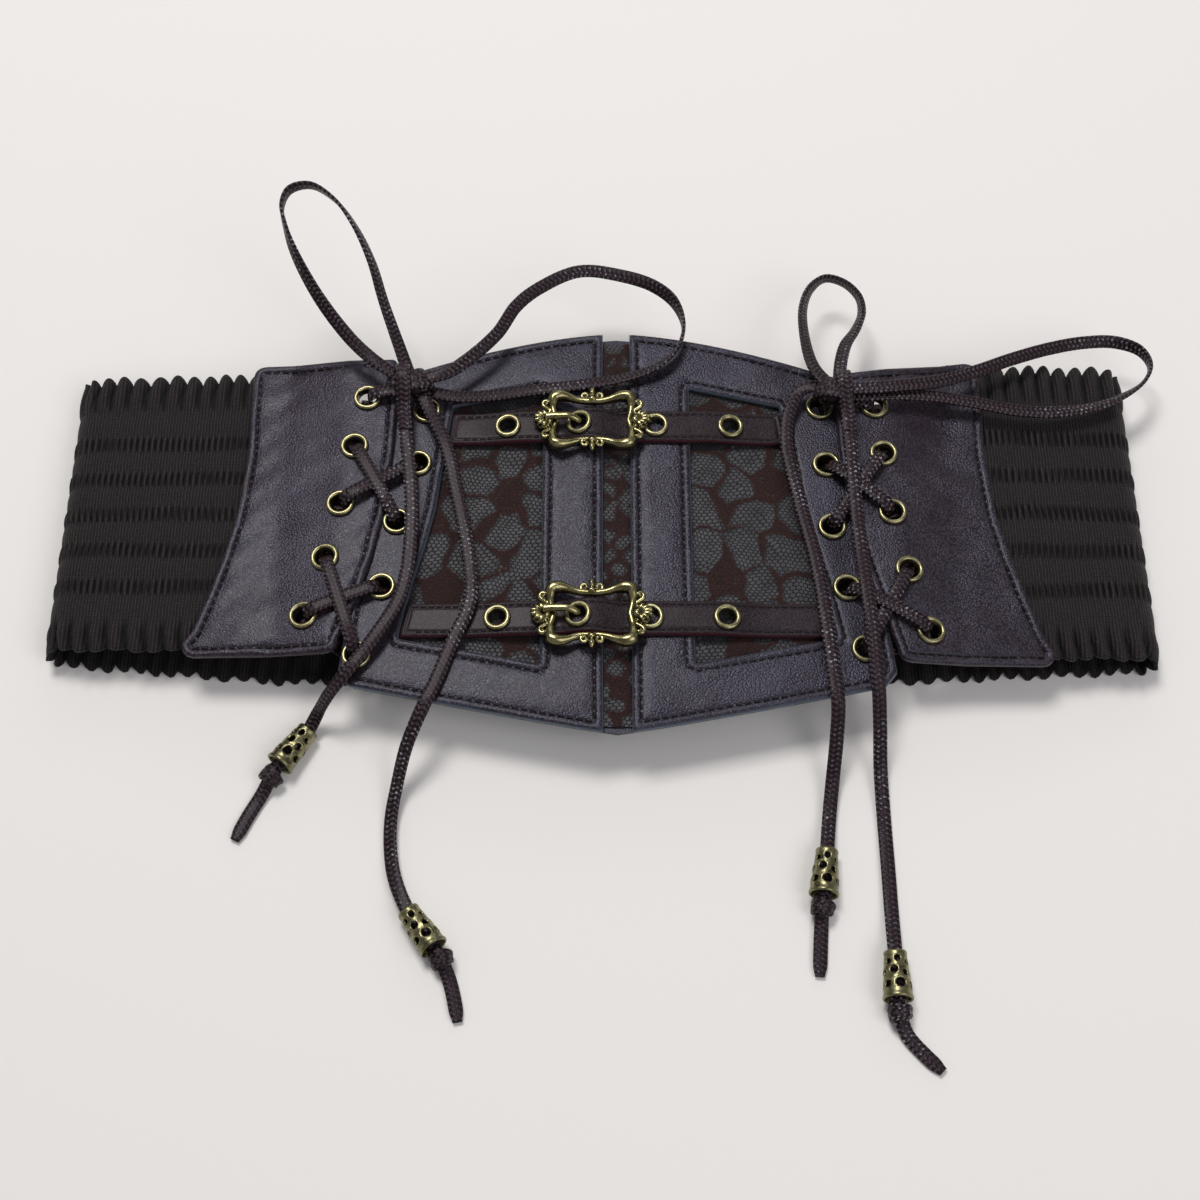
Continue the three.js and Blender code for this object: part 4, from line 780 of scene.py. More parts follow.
# The frames' edge colour is a painted bluish highlight on their cut edges.
SLATE = leather("frame_leather", (0.018, 0.0095, 0.013), (0.044, 0.026, 0.034), (0.055, 0.05, 0.07),
                edge=(0.085, 0.115, 0.15))
STRAP = leather("strap_leather", (0.019, 0.009, 0.011), (0.042, 0.024, 0.028), (0.034, 0.025, 0.031),
                rough=(0.46, 0.58), edge=(0.06, 0.008, 0.015), tint=(0.88, 0.76, 0.88), gloss=0.25)
BACKING = leather("backing_leather", (0.03, 0.03, 0.036), (0.07, 0.072, 0.085), (0.06, 0.07, 0.1),
                  rough=(0.45, 0.6))


def thread_material():
    n = Nodes("stitch_thread", Roughness=0.7, Specular_IOR_Level=0.3)
    twist = n.noise(n.coords(), 3500, 2)
    n.set("Base Color", n.ramp(twist, (0.3, (0.003, 0.002, 0.0025)), (0.7, (0.014, 0.008, 0.01))))
    n.set("Normal", n.bump(twist, 0.00015, 0.7))
    return n.mat


THREAD = thread_material()
PANEL_BORE, STRAP_BORE, EYELET_CLEAR = 3.85, 3.4, 5.2
# height of the leather under the stitches, as a share of its wall
WELT_SHARE, PLAIN_SHARE = 0.78, 0.85

for label, side in SIDES.items():
    hand, places = side["hand"], eyelet_places(side, "inner")
    node = f"{label}_front_frame"
    bores = [circle(*place, PANEL_BORE) for place in places]
    loops = sheet_of(node, front_outline(hand), [window_outline(hand, 0)], bores, frame_under, FRAME_WALL,
                     SLATE, "plum_leather", 3 + hand, 0.16)
    stitches(f"{node}_stitches", loops, WELT_SEAM, lambda x: frame_under(x) + FRAME_WALL * WELT_SHARE + 0.22,
             skip=lambda x, y: min(math.dist((x, y), place) for place in places) < EYELET_CLEAR)
    node = f"{label}_outer_panel"
    bores = [circle(*place, PANEL_BORE) for place in eyelet_places(side, "outer")]
    loops = sheet_of(node, outer_outline(side), [], bores, outer_under, OUTER_WALL,
                     PLUM, "plum_leather", 5 + hand, 0.42)
    stitches(f"{node}_stitches", loops, WELT_SEAM, lambda x: outer_under(x) + OUTER_WALL * WELT_SHARE + 0.24)

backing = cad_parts["front_backing"].data
backing.materials.clear()
backing.materials.append(BACKING)

BUCKLE_EYE = -0.0215
# which way each strap lies from the middle, and its eyelets as shares of FLAT_WIDTH
STRAPS = {
    "upper": (1, (-0.088, BUCKLE_EYE, 0.0496, 0.1198)),
    "lower": (-1, (-0.0932, BUCKLE_EYE, 0.0425, 0.1108)),
}
for label, (sign, shares) in STRAPS.items():
    middle = sign * STRAP_ROW
    rows = np.linspace(-STRAP_WIDTH / 2, STRAP_WIDTH / 2, 5) + middle
    outline = placed(1, [(window_out(y) - GAP, y) for y in rows])
    outline += placed(-1, [(window_out(y) - GAP, y) for y in rows[::-1]])
    node = f"{label}_strap"
    bores = [circle(s * FLAT_WIDTH, middle, STRAP_BORE) for s in shares]
    loops = sheet_of(node, outline, [], bores, strap_under, STRAP_WALL, STRAP, "strap_leather", 9 + sign,
                     0.05, profile=PLAIN, seam=PLAIN_SEAM, step=0.9, spread=2.2)
    reach = window_out(middle) - 4
    top = lambda x: strap_under(x) + STRAP_WALL * PLAIN_SHARE + 0.16
    stitches(f"{node}_stitches", loops, PLAIN_SEAM, top, pitch=2.6, length=2.0, radius=0.27,
             skip=lambda x, y: abs(x - FRONT_SHIFT) > reach)

# Brass


def brass(name, scale, rough, bump):
    """The start of a brass: its nodes and its patina."""
    n = Nodes(name, Metallic=1.0)
    patina = n.noise(n.coords(), scale, 4, 0.6)
    n.set("Roughness", n.ramp(patina, (0.3, rough[0]), (0.7, rough[1])))
    n.set("Normal", n.bump(patina, bump, 0.25))
    return n, patina


def antique_brass():
    """Cast brass, dark in its hollows from patina and painted shade, bright on its ridges from wear and
    painted highlights.
    """
    n, patina = brass("antique_brass", 350, (0.15, 0.3), 0.00025)
    ridge = n.node("ShaderNodeNewGeometry", "Pointiness") + patina * 0.05
    bright = n.mix(patina, (0.32, 0.275, 0.11), (0.7, 0.63, 0.34))
    dark = n.mix(patina, (0.018, 0.015, 0.006), (0.062, 0.055, 0.022))
    # The pointiness mask darkens hollows (patina and painted shade) and brightens ridges (wear and painted
    # highlights).
    n.set("Base Color", n.mix(n.ramp(ridge, (0.5, 0.0), (0.575, 1.0)), dark, bright))
    return n.mat


def plain_brass(name, dark, light):
    n, patina = brass(name, 500, (0.26, 0.4), 0.00015)
    n.set("Base Color", n.ramp(patina, (0.3, dark), (0.7, light)))
    return n.mat


BRASS = antique_brass()
EYELET_BRASS = plain_brass("eyelet_brass", (0.21, 0.185, 0.09), (0.45, 0.41, 0.235))
BEAD_BRASS = plain_brass("bead_brass", (0.1, 0.09, 0.042), (0.36, 0.335, 0.19))
EYELET_SIDES, EYELET_NECK, RIM_EDGE = 36, 0.45, 0.12
# hole, width and rise
PANEL_EYELET, STRAP_EYELET = (6.4, 9.8, 1.2), (5.6, 9.2, 1.1)


def eyelet(name, x, y, base, wall, hole, outer, rise, depth):
    """A rolled rim over the sheet of this base and wall, with a neck down through it."""
    bore, rim = hole / 2, outer / 2
    neck, crest, half = bore + EYELET_NECK, (bore + rim) / 2, (rim - bore) / 2
    bend = np.linspace(0, np.pi, 9)
    roll = [(crest - half * math.cos(t), RIM_EDGE + (rise - RIM_EDGE) * math.sin(t) ** 0.8) for t in bend]
    profile = [(neck, -depth), (bore, -depth), (bore, -0.2), *roll, (rim, -0.02), (neck, 0.0), (neck, -depth)]
    verts = np.array([(r * math.cos(t), r * math.sin(t), h) for r, h in profile for t in turns(EYELET_SIDES)])
    tilt = -math.atan(float(base(x + 0.5) - base(x - 0.5)))
    c, s = math.cos(tilt), math.sin(tilt)
    verts = verts @ np.array([[c, 0, -s], [0, 1, 0], [s, 0, c]]) + (x, y, float(base(x)) + wall + GAP)
    thing = make(name, verts, grid_faces(len(profile), EYELET_SIDES, closed=True))
    weld(thing)
    settle(thing, EYELET_BRASS, "antique_brass", name)


for label, side in SIDES.items():
    for row, base, wall, depth in (("outer", outer_under, OUTER_WALL, 2.1),
                                   ("inner", frame_under, FRAME_WALL, 4.7)):
        for i, (x, y) in enumerate(eyelet_places(side, row)):
            eyelet(f"{label}_{row}_eyelet_{i + 1}", x, y, base, wall, *PANEL_EYELET, depth)
for label, (sign, shares) in STRAPS.items():
    for i, share in enumerate(shares):
        eyelet(f"{label}_strap_eyelet_{i + 1}", share * FLAT_WIDTH, sign * STRAP_ROW, strap_under, STRAP_WALL,
               *STRAP_EYELET, 1.8)


def tube(parts, points, radii, sides=8, flat=1.0, closed=False):
    """A round bar along points with its own radius at each; flat stretches its height."""
    p = np.asarray(points, float)
    way = unit(np.roll(p, -1, 0) - np.roll(p, 1, 0) if closed else np.gradient(p, axis=0))
    side = np.cross(way, (0, 0, 1.0))
    side[np.linalg.norm(side, axis=1) < 1e-3] = (1, 0, 0)
    side = unit(side)
    rise = np.cross(side, way)
    turn = turns(sides)[:, None]
    ring = side[:, None] * np.cos(turn) + rise[:, None] * np.sin(turn) * flat
    verts = p[:, None] + ring * np.broadcast_to(radii, len(p))[:, None, None]
    if closed:
        verts = np.concatenate([verts, verts[:1]])
    parts.put(verts.reshape(-1, 3), grid_faces(len(verts), sides, closed=True, capped=not closed))


def blob(parts, centre, size, rows=7, cols=12):
    """A rounded lump."""
    a, b = np.linspace(0.02, np.pi - 0.02, rows)[:, None], turns(cols)
    ball = np.broadcast_arrays(np.sin(a) * np.cos(b), np.sin(a) * np.sin(b), np.cos(a))
    verts = np.stack(ball, -1).reshape(-1, 3) * np.array(size) / 2 + centre
    parts.put(verts, grid_faces(rows, cols, closed=True, capped=True))


def scroll(hub, start, sweep, outer, inner, climb):
    """Points of a spiral that winds in round its hub from the angle start."""
    share = np.linspace(0, 1, 18)
    r, turn = outer + (inner - outer) * share, start + sweep * share
    return hub + np.stack([r * np.cos(turn), r * np.sin(turn), climb * share], 1)


def cast(name, parts, place, voxel, smooth):
    """Melts the parts into one cast surface at its place on the belt."""
    thing = parts.done(name)
    melt = thing.modifiers.new("melt", "REMESH")
    melt.mode, melt.voxel_size = "VOXEL", voxel * MM
    relax = thing.modifiers.new("relax", "SMOOTH")
    relax.iterations, relax.factor = smooth, 0.5
    mesh = bpy.data.meshes.new_from_object(thing.evaluated_get(bpy.context.evaluated_depsgraph_get()))
    thing.modifiers.clear()
    thing.data = mesh
    mesh.shade_smooth()
    mesh.transform(Matrix.Translation(Vector(place) * MM))
    settle(thing, BRASS, "antique_brass", name)


HALF_W, HALF_H = (BUCKLE_WIDTH - BUCKLE_BAR) / 2 + 0.2, (BUCKLE_HEIGHT - BUCKLE_BAR) / 2
# a quarter of the frame's run, as shares of HALF_W and HALF_H
QUARTER = [(0.93, 0), (1.0, 0.45), (1, 0.72), (0.97, 0.93), (0.8, 1.0), (0.6, 0.95), (0.4, 0.85), (0.2, 0.8),
           (0, 0.79)]


def buckle_bars(parts):
    """The waved ring, thick and raised near its corners."""
    ring = QUARTER + [(-x, y) for x, y in QUARTER[-2::-1]]
    ring += [(x, -y) for x, y in ring[-2:0:-1]]
    line = spline([(x * HALF_W, y * HALF_H, 1.5) for x, y in ring + ring[:1]], 0.5)[:-1]
    x, y = np.abs(line[:, :2]).T
    knee = np.exp(-(((x - HALF_W * 0.9) / 4.2) ** 2 + ((y - HALF_H * 0.93) / 3.4) ** 2))
    line[:, 2] += 0.3 * knee
    tube(parts, line, 1.15 + 1.05 * knee, 14, flat=1.15, closed=True)


def buckle_corner(parts, sx, sy):
    """A lump on the corner, and the bracket that curls up outside it."""
    blob(parts, (sx * HALF_W * 0.95, sy * HALF_H * 0.94, 2.0), (4.2, 4.0, 3.6))
    hub = np.array([sx * (HALF_W + 2.3), sy * 6.3, 2.0])
    curl = scroll(hub, math.atan2(-sy, sx * 0.25), sx * sy * 1.35 * np.pi, 1.5, 0.55, 0.5)
    foot, knee = (sx * (HALF_W + 2.6), sy * 1.2, 1.7), (sx * (HALF_W + 1.1), sy * 3.4, 1.9)
    arm = spline([foot, knee, curl[0]], 0.4)[:-1]
    radii = np.concatenate([np.linspace(0.55, 0.8, len(arm)), np.linspace(0.85, 0.75, len(curl))])
    tube(parts, np.vstack([arm, curl]), radii, flat=1.1)
    blob(parts, hub + (0, 0, 0.2), (1.3, 1.3, 1.6))


def buckle_shell(parts, sx):
    """The ribbed shell at the middle of a side."""
    blob(parts, (sx * (HALF_W + 1.2), 0, 1.1), (4.2, 12.0, 1.8), 9, 20)
    blob(parts, (sx * (HALF_W + 3.1), 0, 1.6), (6.6, 7.6, 2.8), 9, 20)
    root = np.array([sx * (HALF_W + 1.0), 0, 1.7])
    for k in np.linspace(-1, 1, 6):
        angle, far = k * 0.98, 5.4 - 1.1 * abs(k)
        tip = root + (sx * math.cos(angle) * far, math.sin(angle) * far * 0.78, 0.5 - 0.35 * abs(k))
        mids = np.linspace(0, 1, 6)[:, None]
        rib = root * (1 - mids) + tip * mids + np.array([0, 0, 1.5]) * np.sin(mids * np.pi * 0.75)
        tube(parts, rib, np.linspace(0.36, 0.78, 6))
        blob(parts, tip + (0, 0, 0.3), (1.5, 1.5, 1.5))
    blob(parts, root + (sx * 0.3, 0, 0.4), (2.6, 3.4, 2.6))


def buckle_leaf(parts, sy):
    """The leaf at the middle of the top or bottom bar, between two scrolls."""
    foot = np.array([0, sy * HALF_H * 0.84, 1.6])
    blob(parts, foot + (0, sy * 2.7, 0.8), (2.1, 3.8, 2.6))
    blob(parts, foot + (0, sy * 1.1, 0.6), (1.6, 3.4, 2.2))
    blob(parts, foot + (0, sy * 0.1, 0.8), (2.6, 1.8, 2.4))
    for sx in (-1, 1):
        hub = foot + (sx * 2.4, sy * 1.35, 0.4)
        curl = scroll(hub, -sy * np.pi / 2, sx * sy * 1.5 * np.pi, 1.35, 0.65, 0.3)
        tube(parts, curl, np.linspace(0.72, 0.6, len(curl)))
        blob(parts, curl[-1], (1.3, 1.3, 1.5))
        stem = [foot + (sx * 5.6, sy * 0.5, 0), foot + (sx * 4.0, sy * 0.1, 0.3), curl[0]]
        tube(parts, stem, [0.5, 0.65, 0.72], 7)


def buckle(label, middle, lift):
    """A cast frame, moved up the belt by lift, and a prong wrapped round it at one end."""
    bottom = float(under(BUCKLE_SHIFT)) + BUCKLE_OFFSET
    parts = Parts()
    buckle_bars(parts)
    for sx in (-1, 1):
        for sy in (-1, 1):
            buckle_corner(parts, sx, sy)
        buckle_shell(parts, sx)
    for sy in (-1, 1):
        buckle_leaf(parts, sy)
    cast(f"{label}_buckle_frame", parts, (BUCKLE_SHIFT + 0.4, middle + lift, bottom), 0.23, 2)
    eye_x = BUCKLE_EYE * FLAT_WIDTH - BUCKLE_SHIFT
    strap_top = float(strap_under(BUCKLE_SHIFT + eye_x)) + STRAP_WALL - bottom
    hinge = -BUCKLE_WIDTH / 2
    rest = 3.7 + GAP
    route = [(hinge - 1.0, 1.2, rest - 0.2), (hinge + 2.6, 1.2, rest + 0.3),
             (eye_x - 3, 0.8, max(rest, strap_top + 3)), (eye_x, 0, strap_top + 1.6),
             (eye_x + 1, 0, strap_top - 0.4)]
    line = spline(route, 0.4)
    parts = Parts()
    taper = np.linspace(1.45, 1.05, len(line))
    taper[-2:] *= (0.85, 0.5)
    tube(parts, line, taper, 10, flat=0.85)
    wrap = np.linspace(-0.1, 1.25 * np.pi, 14)
    tube(parts, [(hinge + 1.15 - 2.0 * math.sin(w), 1.2, 1.6 + 2.3 * math.cos(w)) for w in wrap], 0.85)
    cast(f"{label}_buckle_prong", parts, (BUCKLE_SHIFT, middle, bottom), 0.25, 1)


buckle("upper", STRAP_ROW, 0.9)
buckle("lower", -STRAP_ROW, 0.2)

# Beads

BEAD_LENGTH, BEAD_SMALL, BEAD_LARGE, BEAD_WALL = 15.0, 6.9, 9.2, 0.8
# place round the bead in turns, place along it as a share, radius
BEAD_HOLES = [
    (0.5, 0.19, 1.15), (0.37, 0.24, 1.0), (0.63, 0.27, 0.95), (0.445, 0.43, 1.35), (0.595, 0.49, 1.15),
    (0.29, 0.46, 1.1), (0.52, 0.71, 1.6), (0.36, 0.72, 1.3), (0.68, 0.73, 1.25), (0.22, 0.71, 0.95),
    (0.76, 0.5, 0.85)]


def bead(name, start, end):
    """A pierced cone from start towards end, made flat as a sheet with holes and then rolled up."""
    span = np.pi * (BEAD_SMALL + BEAD_LARGE) / 2
    box = [(0, 0), (span, 0), (span, BEAD_LENGTH), (0, BEAD_LENGTH)]
    loops = [resample(box, span / 44)] + [circle(t * span, u * BEAD_LENGTH, r, 14) for t, u, r in BEAD_HOLES]
    inner = lattice(np.linspace(0, span, 40)[1:-1], np.linspace(0, BEAD_LENGTH, 24)[1:-1])
    flat, faces = fill(loops, inner[within(inner, loops) & (distance(inner, loops) > 0.22)])
    lift = 0.2 * np.exp(-(((distance(flat, loops[1:]) - 0.12) / 0.25) ** 2))
    up = flat[:, 1] / BEAD_LENGTH
    radius = BEAD_SMALL / 2 + (BEAD_LARGE - BEAD_SMALL) / 2 * up + lift
    radius += 0.3 * np.exp(-(((up - 0.965) / 0.03) ** 2)) + 0.22 * np.exp(-(((up - 0.03) / 0.03) ** 2))
    turn = (flat[:, :1] / span * 2 - 0.5) * np.pi
    way = unit(end - start)
    side = unit(np.cross(way, (0, 0, 1.0)))
    spoke = side * np.cos(turn) + np.cross(side, way) * np.sin(turn)
    shells = [start + way * flat[:, 1:] + spoke * r[:, None] for r in (radius, radius - lift - BEAD_WALL)]
    n = len(flat)
    parts = Parts()
    parts.put(np.vstack(shells), np.vstack([faces, faces[:, ::-1] + n]))
    thing = parts.done(name)
    sides = np.sort(np.vstack([faces[:, :2], faces[:, 1:], faces[:, ::2]]))
    rims, uses = np.unique(sides, axis=0, return_counts=True)
    seam = np.minimum(flat[:, 0], span - flat[:, 0]) < 1e-3
    weld(thing, [(a, b, b + n, a + n) for a, b in rims[uses == 1].tolist() if not (seam[a] and seam[b])])
    return settle(thing, BEAD_BRASS, "antique_brass", name)

# Knots, lacing, tails


def knot_wraps(parts, centre, size, wraps, width=4.8):
    """Lace wrapped over a core: each wrap gives its heading in degrees, its shift, its tip and its swell."""
    for angle, shift, tip, swell in wraps:
        w, h, d = np.array(size) / 2 * swell
        heading, lean = math.radians(angle), math.radians(tip)
        run = np.array([math.cos(heading), math.sin(heading), 0])
        side = np.array([-run[1] * math.cos(lean), run[0] * math.cos(lean), math.sin(lean)])
        reach = 0.92 / math.hypot(run[0] / w, run[1] / h)
        mid = np.array(centre) + side * shift
        route = [mid + run * reach * math.cos(t) + np.array([0, 0, d * 0.92]) * math.sin(t)
                 for t in np.linspace(-0.12, 1.12, 22) * np.pi]
        ribbon(parts, route, width=width, side=side)


def strand(parts, a, b, heights):
    """A strand in the upright plane from a to b: heights along it, with its width level."""
    run = math.hypot(b[0] - a[0], b[1] - a[1])
    way = (b[0] - a[0]) / run, (b[1] - a[1]) / run
    route = [(a[0] + way[0] * s, a[1] + way[1] * s, z) for s, z in heights(run)]
    ribbon(parts, route, side=(way[1], -way[0], 0))


RIM_LIFT = 1.2 + 4 * GAP + CORD_THICKNESS / 2
# how far from an eyelet's middle a strand stands in its bore, crosses its rim and lies level
IN_BORE, AT_RIM, LEVEL = 0.75, 3.1, 5.4


def over(parts, a, b, peak):
    """A strand that comes up through one eyelet and goes down through the other."""
    rims = a[2] + RIM_LIFT, b[2] + RIM_LIFT
    strand(parts, a, b, lambda run: [
        (IN_BORE, a[2] - 1.4), (0.95, a[2] + 1.1), (AT_RIM, rims[0]), (LEVEL, max(rims[0] + 0.3, peak)),
        (run - 7.5, max(rims[1] + 0.3, peak)), (run - AT_RIM, rims[1]), (run - 0.95, b[2] + 1.1),
        (run - IN_BORE, b[2] - 1.4)])


def behind(parts, a, b):
    """A strand under the leather, from one eyelet to the other."""
    drop = GAP + CORD_THICKNESS / 2 + 0.3
    level = min(a[3], b[3]) - drop
    strand(parts, a, b, lambda run: [
        (IN_BORE, a[3] + 0.5), (1.05, a[3] - drop + 0.2), (LEVEL, level), (run - LEVEL, level),
        (run - 1.05, b[3] - drop + 0.2), (run - IN_BORE, b[3] + 0.5)])


KNOTS = {"left": (-65, 50, 25.6), "right": (80, 46.5, 26.4)}
KNOT_SIZE = (14, 10.4, 8.6)
KNOT_TURNS = {
    "left": [(-34, 1.2, 0, 0.95), (14, -1.6, 0, 1.0), (40, 0.6, 4, 1.06)],
    "right": [(32, 1.0, 0, 0.95), (-12, -1.6, 0, 1.0), (-38, 0.4, -4, 1.06)],
}

# the band that comes over each knot and lies down on its tail
KNOT_BANDS = {
    "left": [(-68.6, 56.8, 24.6), (-68.8, 56.4, 28.6), (-68.4, 52.4, 31.6), (-67.9, 46.6, 30.4),
             (-67.9, 41, 27), (-67.2, 33, 24.8)],
    "right": [(83.4, 54.4, 25), (83.2, 53.4, 29.4), (83, 49, 31.6), (83.2, 44, 30.4),
              (84, 39, 27.6), (84.3, 31, 26.5)],
}

for label, side in SIDES.items():
    outer, inner = (
        [(x, y, float(base(x)) + wall, float(sole(x))) for x, y in eyelet_places(side, row)]
        for row, base, wall, sole in (("outer", outer_under, OUTER_WALL, outer_under),
                                      ("inner", frame_under, FRAME_WALL, under)))
    crest = float(outer_under(FRONT_SHIFT + side["hand"] * (PANEL_REACH + 1))) + OUTER_WALL
    first = crest + GAP + CORD_THICKNESS / 2
    second = first + GAP + CORD_THICKNESS
    falling, rising = (second, first) if side["hand"] < 0 else (first, second)
    kx, ky, kz = KNOTS[label]
    parts = Parts()
    for start in (outer[0], inner[0]):
        strand(parts, start, (kx, ky), lambda run: [
            (IN_BORE, start[2] - 1.4), (0.85, start[2] + 1.1), (min(AT_RIM, run * 0.5), start[2] + RIM_LIFT),
            (run * 0.75, max(start[2] + RIM_LIFT + 0.4, kz - 2)), (run, kz - 1)])
    for i in (1, 3):
        over(parts, outer[i], inner[i + 1], falling)
        over(parts, outer[i + 1], inner[i], rising)
        behind(parts, outer[i - 1], outer[i])
        behind(parts, inner[i - 1], inner[i])
    behind(parts, outer[4], inner[4])
    settle(parts.done(f"{label}_lacing"), CORD_MAT, "braided_lace_cord", f"{label}_lacing")
    parts = Parts()
    blob(parts, (kx, ky, kz - 0.3), np.array(KNOT_SIZE) * 0.8, rows=12, cols=20)
    knot_wraps(parts, (kx, ky, kz), KNOT_SIZE, KNOT_TURNS[label])
    ribbon(parts, KNOT_BANDS[label], width=5.0, side=(1, 0, 0))
    settle(parts.done(f"{label}_bow_knot"), CORD_MAT, "braided_lace_cord", f"{label}_bow_knot")

for name, (start, route) in TAILS.items():
    points = [np.array(r[:3], float) for r in route]
    metal = bead(f"{name}_bead", points[start], points[start + 2])
    parts = Parts()
    line = ribbon(parts, route, pinch=0.32)
    piece = settle(parts.done(name), CORD_MAT, "braided_lace_cord", name)
    parts = Parts()
    way = points[start + 4] - points[start + 2]
    angle = math.degrees(math.atan2(way[1], way[0]))
    blob(parts, points[start + 3], (5.2, 5.2, 5.0), rows=10, cols=16)
    wraps = [(angle + 90, -0.9, 0, 1), (angle + 62, 0.9, 0, 1.06), (angle + 10, 0.2, 0, 0.96)]
    knot_wraps(parts, points[start + 3], (6.6, 6.6, 6.2), wraps, width=3.4)
    tied = settle(parts.done(f"{name}_end_knot"), CORD_MAT, "braided_lace_cord")
    float(lengths(line)[-1]) * MM

# Elastic

ELASTIC_HEIGHT, TOP_RUFFLE, LOW_RUFFLE, TOP_BAND = 110.0, 15.5, 11.5, 9.8
GATHERS, GATHER_PITCH, GATHER_HEIGHT = 5, 14.2, 6.9
PANEL_COVER = 115  # how far from the middle the elastic ends, under the side panels
RUNS = [FOLD_X - FRONT_SHIFT - PANEL_COVER, math.pi * FOLD_RADIUS, 2 * FOLD_X, math.pi * FOLD_RADIUS,
        FOLD_X - PANEL_COVER + FRONT_SHIFT]
ENDS = np.cumsum([0, *RUNS])
BAND_RUN = sum(RUNS)
# share of the way round, middle's height and tallness as shares of the elastic's height
DRIFT = [(0, 0.075, 1.04), (0.14, 0.08, 1.03), (0.3, 0.03, 1), (0.7, 0.03, 1), (0.86, 0.075, 0.96),
         (1, 0.065, 0.98)]
PLEAT, PUCKER, CLOTH_WALL = 5.7, 2.2, 1.1
GATHERED = 1.25  # how much longer the cloth was cut than it lies


def band_place(way):
    """Point and outward direction of the band's outer face, from right to left round the back."""
    x, z, ox, oz = (np.zeros_like(way) for _ in range(4))
    stretch = np.searchsorted(ENDS[1:-1], way, side="right")
    for k, hand in ((1, 1), (3, -1)):
        fold = stretch == k
        t = (way[fold] - ENDS[k]) / FOLD_RADIUS
        ox[fold], oz[fold] = hand * np.sin(t), hand * np.cos(t)
        x[fold], z[fold] = hand * FOLD_X + FOLD_RADIUS * ox[fold], FOLD_RADIUS * (1 + oz[fold])
    right, back, left = stretch == 0, stretch == 2, stretch == 4
    x[right], oz[right] = FOLD_X - RUNS[0] + way[right], 1
    x[back], oz[back] = FOLD_X - (way[back] - ENDS[2]), -1
    x[left], oz[left] = -FOLD_X + way[left] - ENDS[4], 1
    front = right | left
    z[front] = under(x[front]) + ELASTIC_WALL
    return x, z, ox, oz


def ruffle_rows(ways, root, edge, phase):
    """Rows of a pleated edge, from the edge in: height, depth into the band, place in a fold, which sets its
    painted shade.
    """
    wander = 0.5 * np.sin(ways / 17.0) + 0.35 * np.sin(ways / 7.3 + 1)
    rows = []
    for f in np.linspace(1, 0.1, 9):
        ridge = np.abs(np.sin(np.pi * ways / PLEAT + wander + phase + 0.3 * np.sin(f * 4))) ** 0.75
        depth = 2.5 * (1 - ridge) * f**0.5 - 0.9 * ridge * math.sin(math.pi * min(f + 0.1, 1)) - 0.2 * f
        dip = (2.3 * (1 - ridge) + 0.5 * np.sin(ways / 3.1)) * f**2
        height = root + (edge - root) * f - math.copysign(1, edge - root) * dip
        rows.append((height, depth, (1 - ridge) * min(1, 0.4 + f)))
    return rows


def smooth_rows(ways, top, low):
    """Rows of the plain band between two gathers."""
    still = np.zeros_like(ways)
    steps = np.arange(5) / 5
    return [(top + (low - top) * t + still, still - 0.3 * math.sin(math.pi * t), still) for t in steps]


def gather_rows(ways, top, low, i):
    """Rows of the puckers that the rubber thread i draws together."""
    rows = []
    bend = 0.5 * np.sin(ways / 8.0 + 2 * i)
    sway = 0.9 * np.sin(ways / 11 + i)
    for t in np.arange(7) / 7:
        bow = math.sin(math.pi * t) ** 0.6
        ridge = np.abs(np.sin(np.pi * ways / PUCKER + sway + math.sin(2.4 * i) * (t - 0.5) + i)) ** 0.7
        height, depth = top + (low - top) * t + bend * bow, bow * (1.5 * (1 - ridge) - 0.6 * ridge)
        rows.append((height, depth, bow * (1 - ridge)))
    return rows


def elastic():
    """The band as one grid: its outer rows from the top edge down, then a few inner ones back up."""
    fine, coarse = PUCKER / 8, 1.3
    pieces = ((0, ENDS[2], fine), (ENDS[2], ENDS[3], coarse), (ENDS[3], ENDS[5], fine))
    ways = np.append(np.concatenate([np.arange(*piece) for piece in pieces]), BAND_RUN - 1e-6)
    still = np.zeros_like(ways)
    half = ELASTIC_HEIGHT / 2
    top, low = half - TOP_RUFFLE, LOW_RUFFLE - half
    rows = ruffle_rows(ways, top, half, 0)
    level = top
    for i in range(GATHERS):
        high = top - TOP_BAND - i * GATHER_PITCH
        rows += smooth_rows(ways, level, high) + gather_rows(ways, high, high - GATHER_HEIGHT, i)
        level = high - GATHER_HEIGHT
    rows += smooth_rows(ways, level, low) + ruffle_rows(ways, low, -half, 1.7)[::-1]
    inner = [rows[-1], rows[-4], rows[-8]]
    inner += [(low + (top - low) * t + still, still + 0.4, still) for t in np.linspace(0, 1, 9)]
    inner += [rows[7], rows[4], rows[0]]
    rows += [(height, depth + CLOTH_WALL, fold) for height, depth, fold in inner]
    x, z, ox, oz = band_place(ways)
    middles, tallness = (np.interp(ways / BAND_RUN, *np.array(DRIFT).T[[0, k]]) for k in (1, 2))
    middle = ELASTIC_HEIGHT * middles
    verts = np.concatenate([np.stack([x - ox * d, middle + h * tallness, z - oz * d], 1) for h, d, _ in rows])
    verts[:, 2] = np.maximum(verts[:, 2], 0.0)
    uvs = np.concatenate([np.stack([ways, h], 1) for h, _, _ in rows])
    count, n = len(rows), len(ways)
    last = (count - 1) * n
    k = np.arange(n - 1)
    faces = np.vstack([grid_faces(count, n), np.stack([k + last, k + last + 1, k + 1, k], 1)]).tolist()
    faces += [list(range(0, count * n, n)), list(range(n - 1, count * n, n))[::-1]]
    return make("elastic_band", verts, faces, uvs, {"fold": np.concatenate([fold for _, _, fold in rows])})


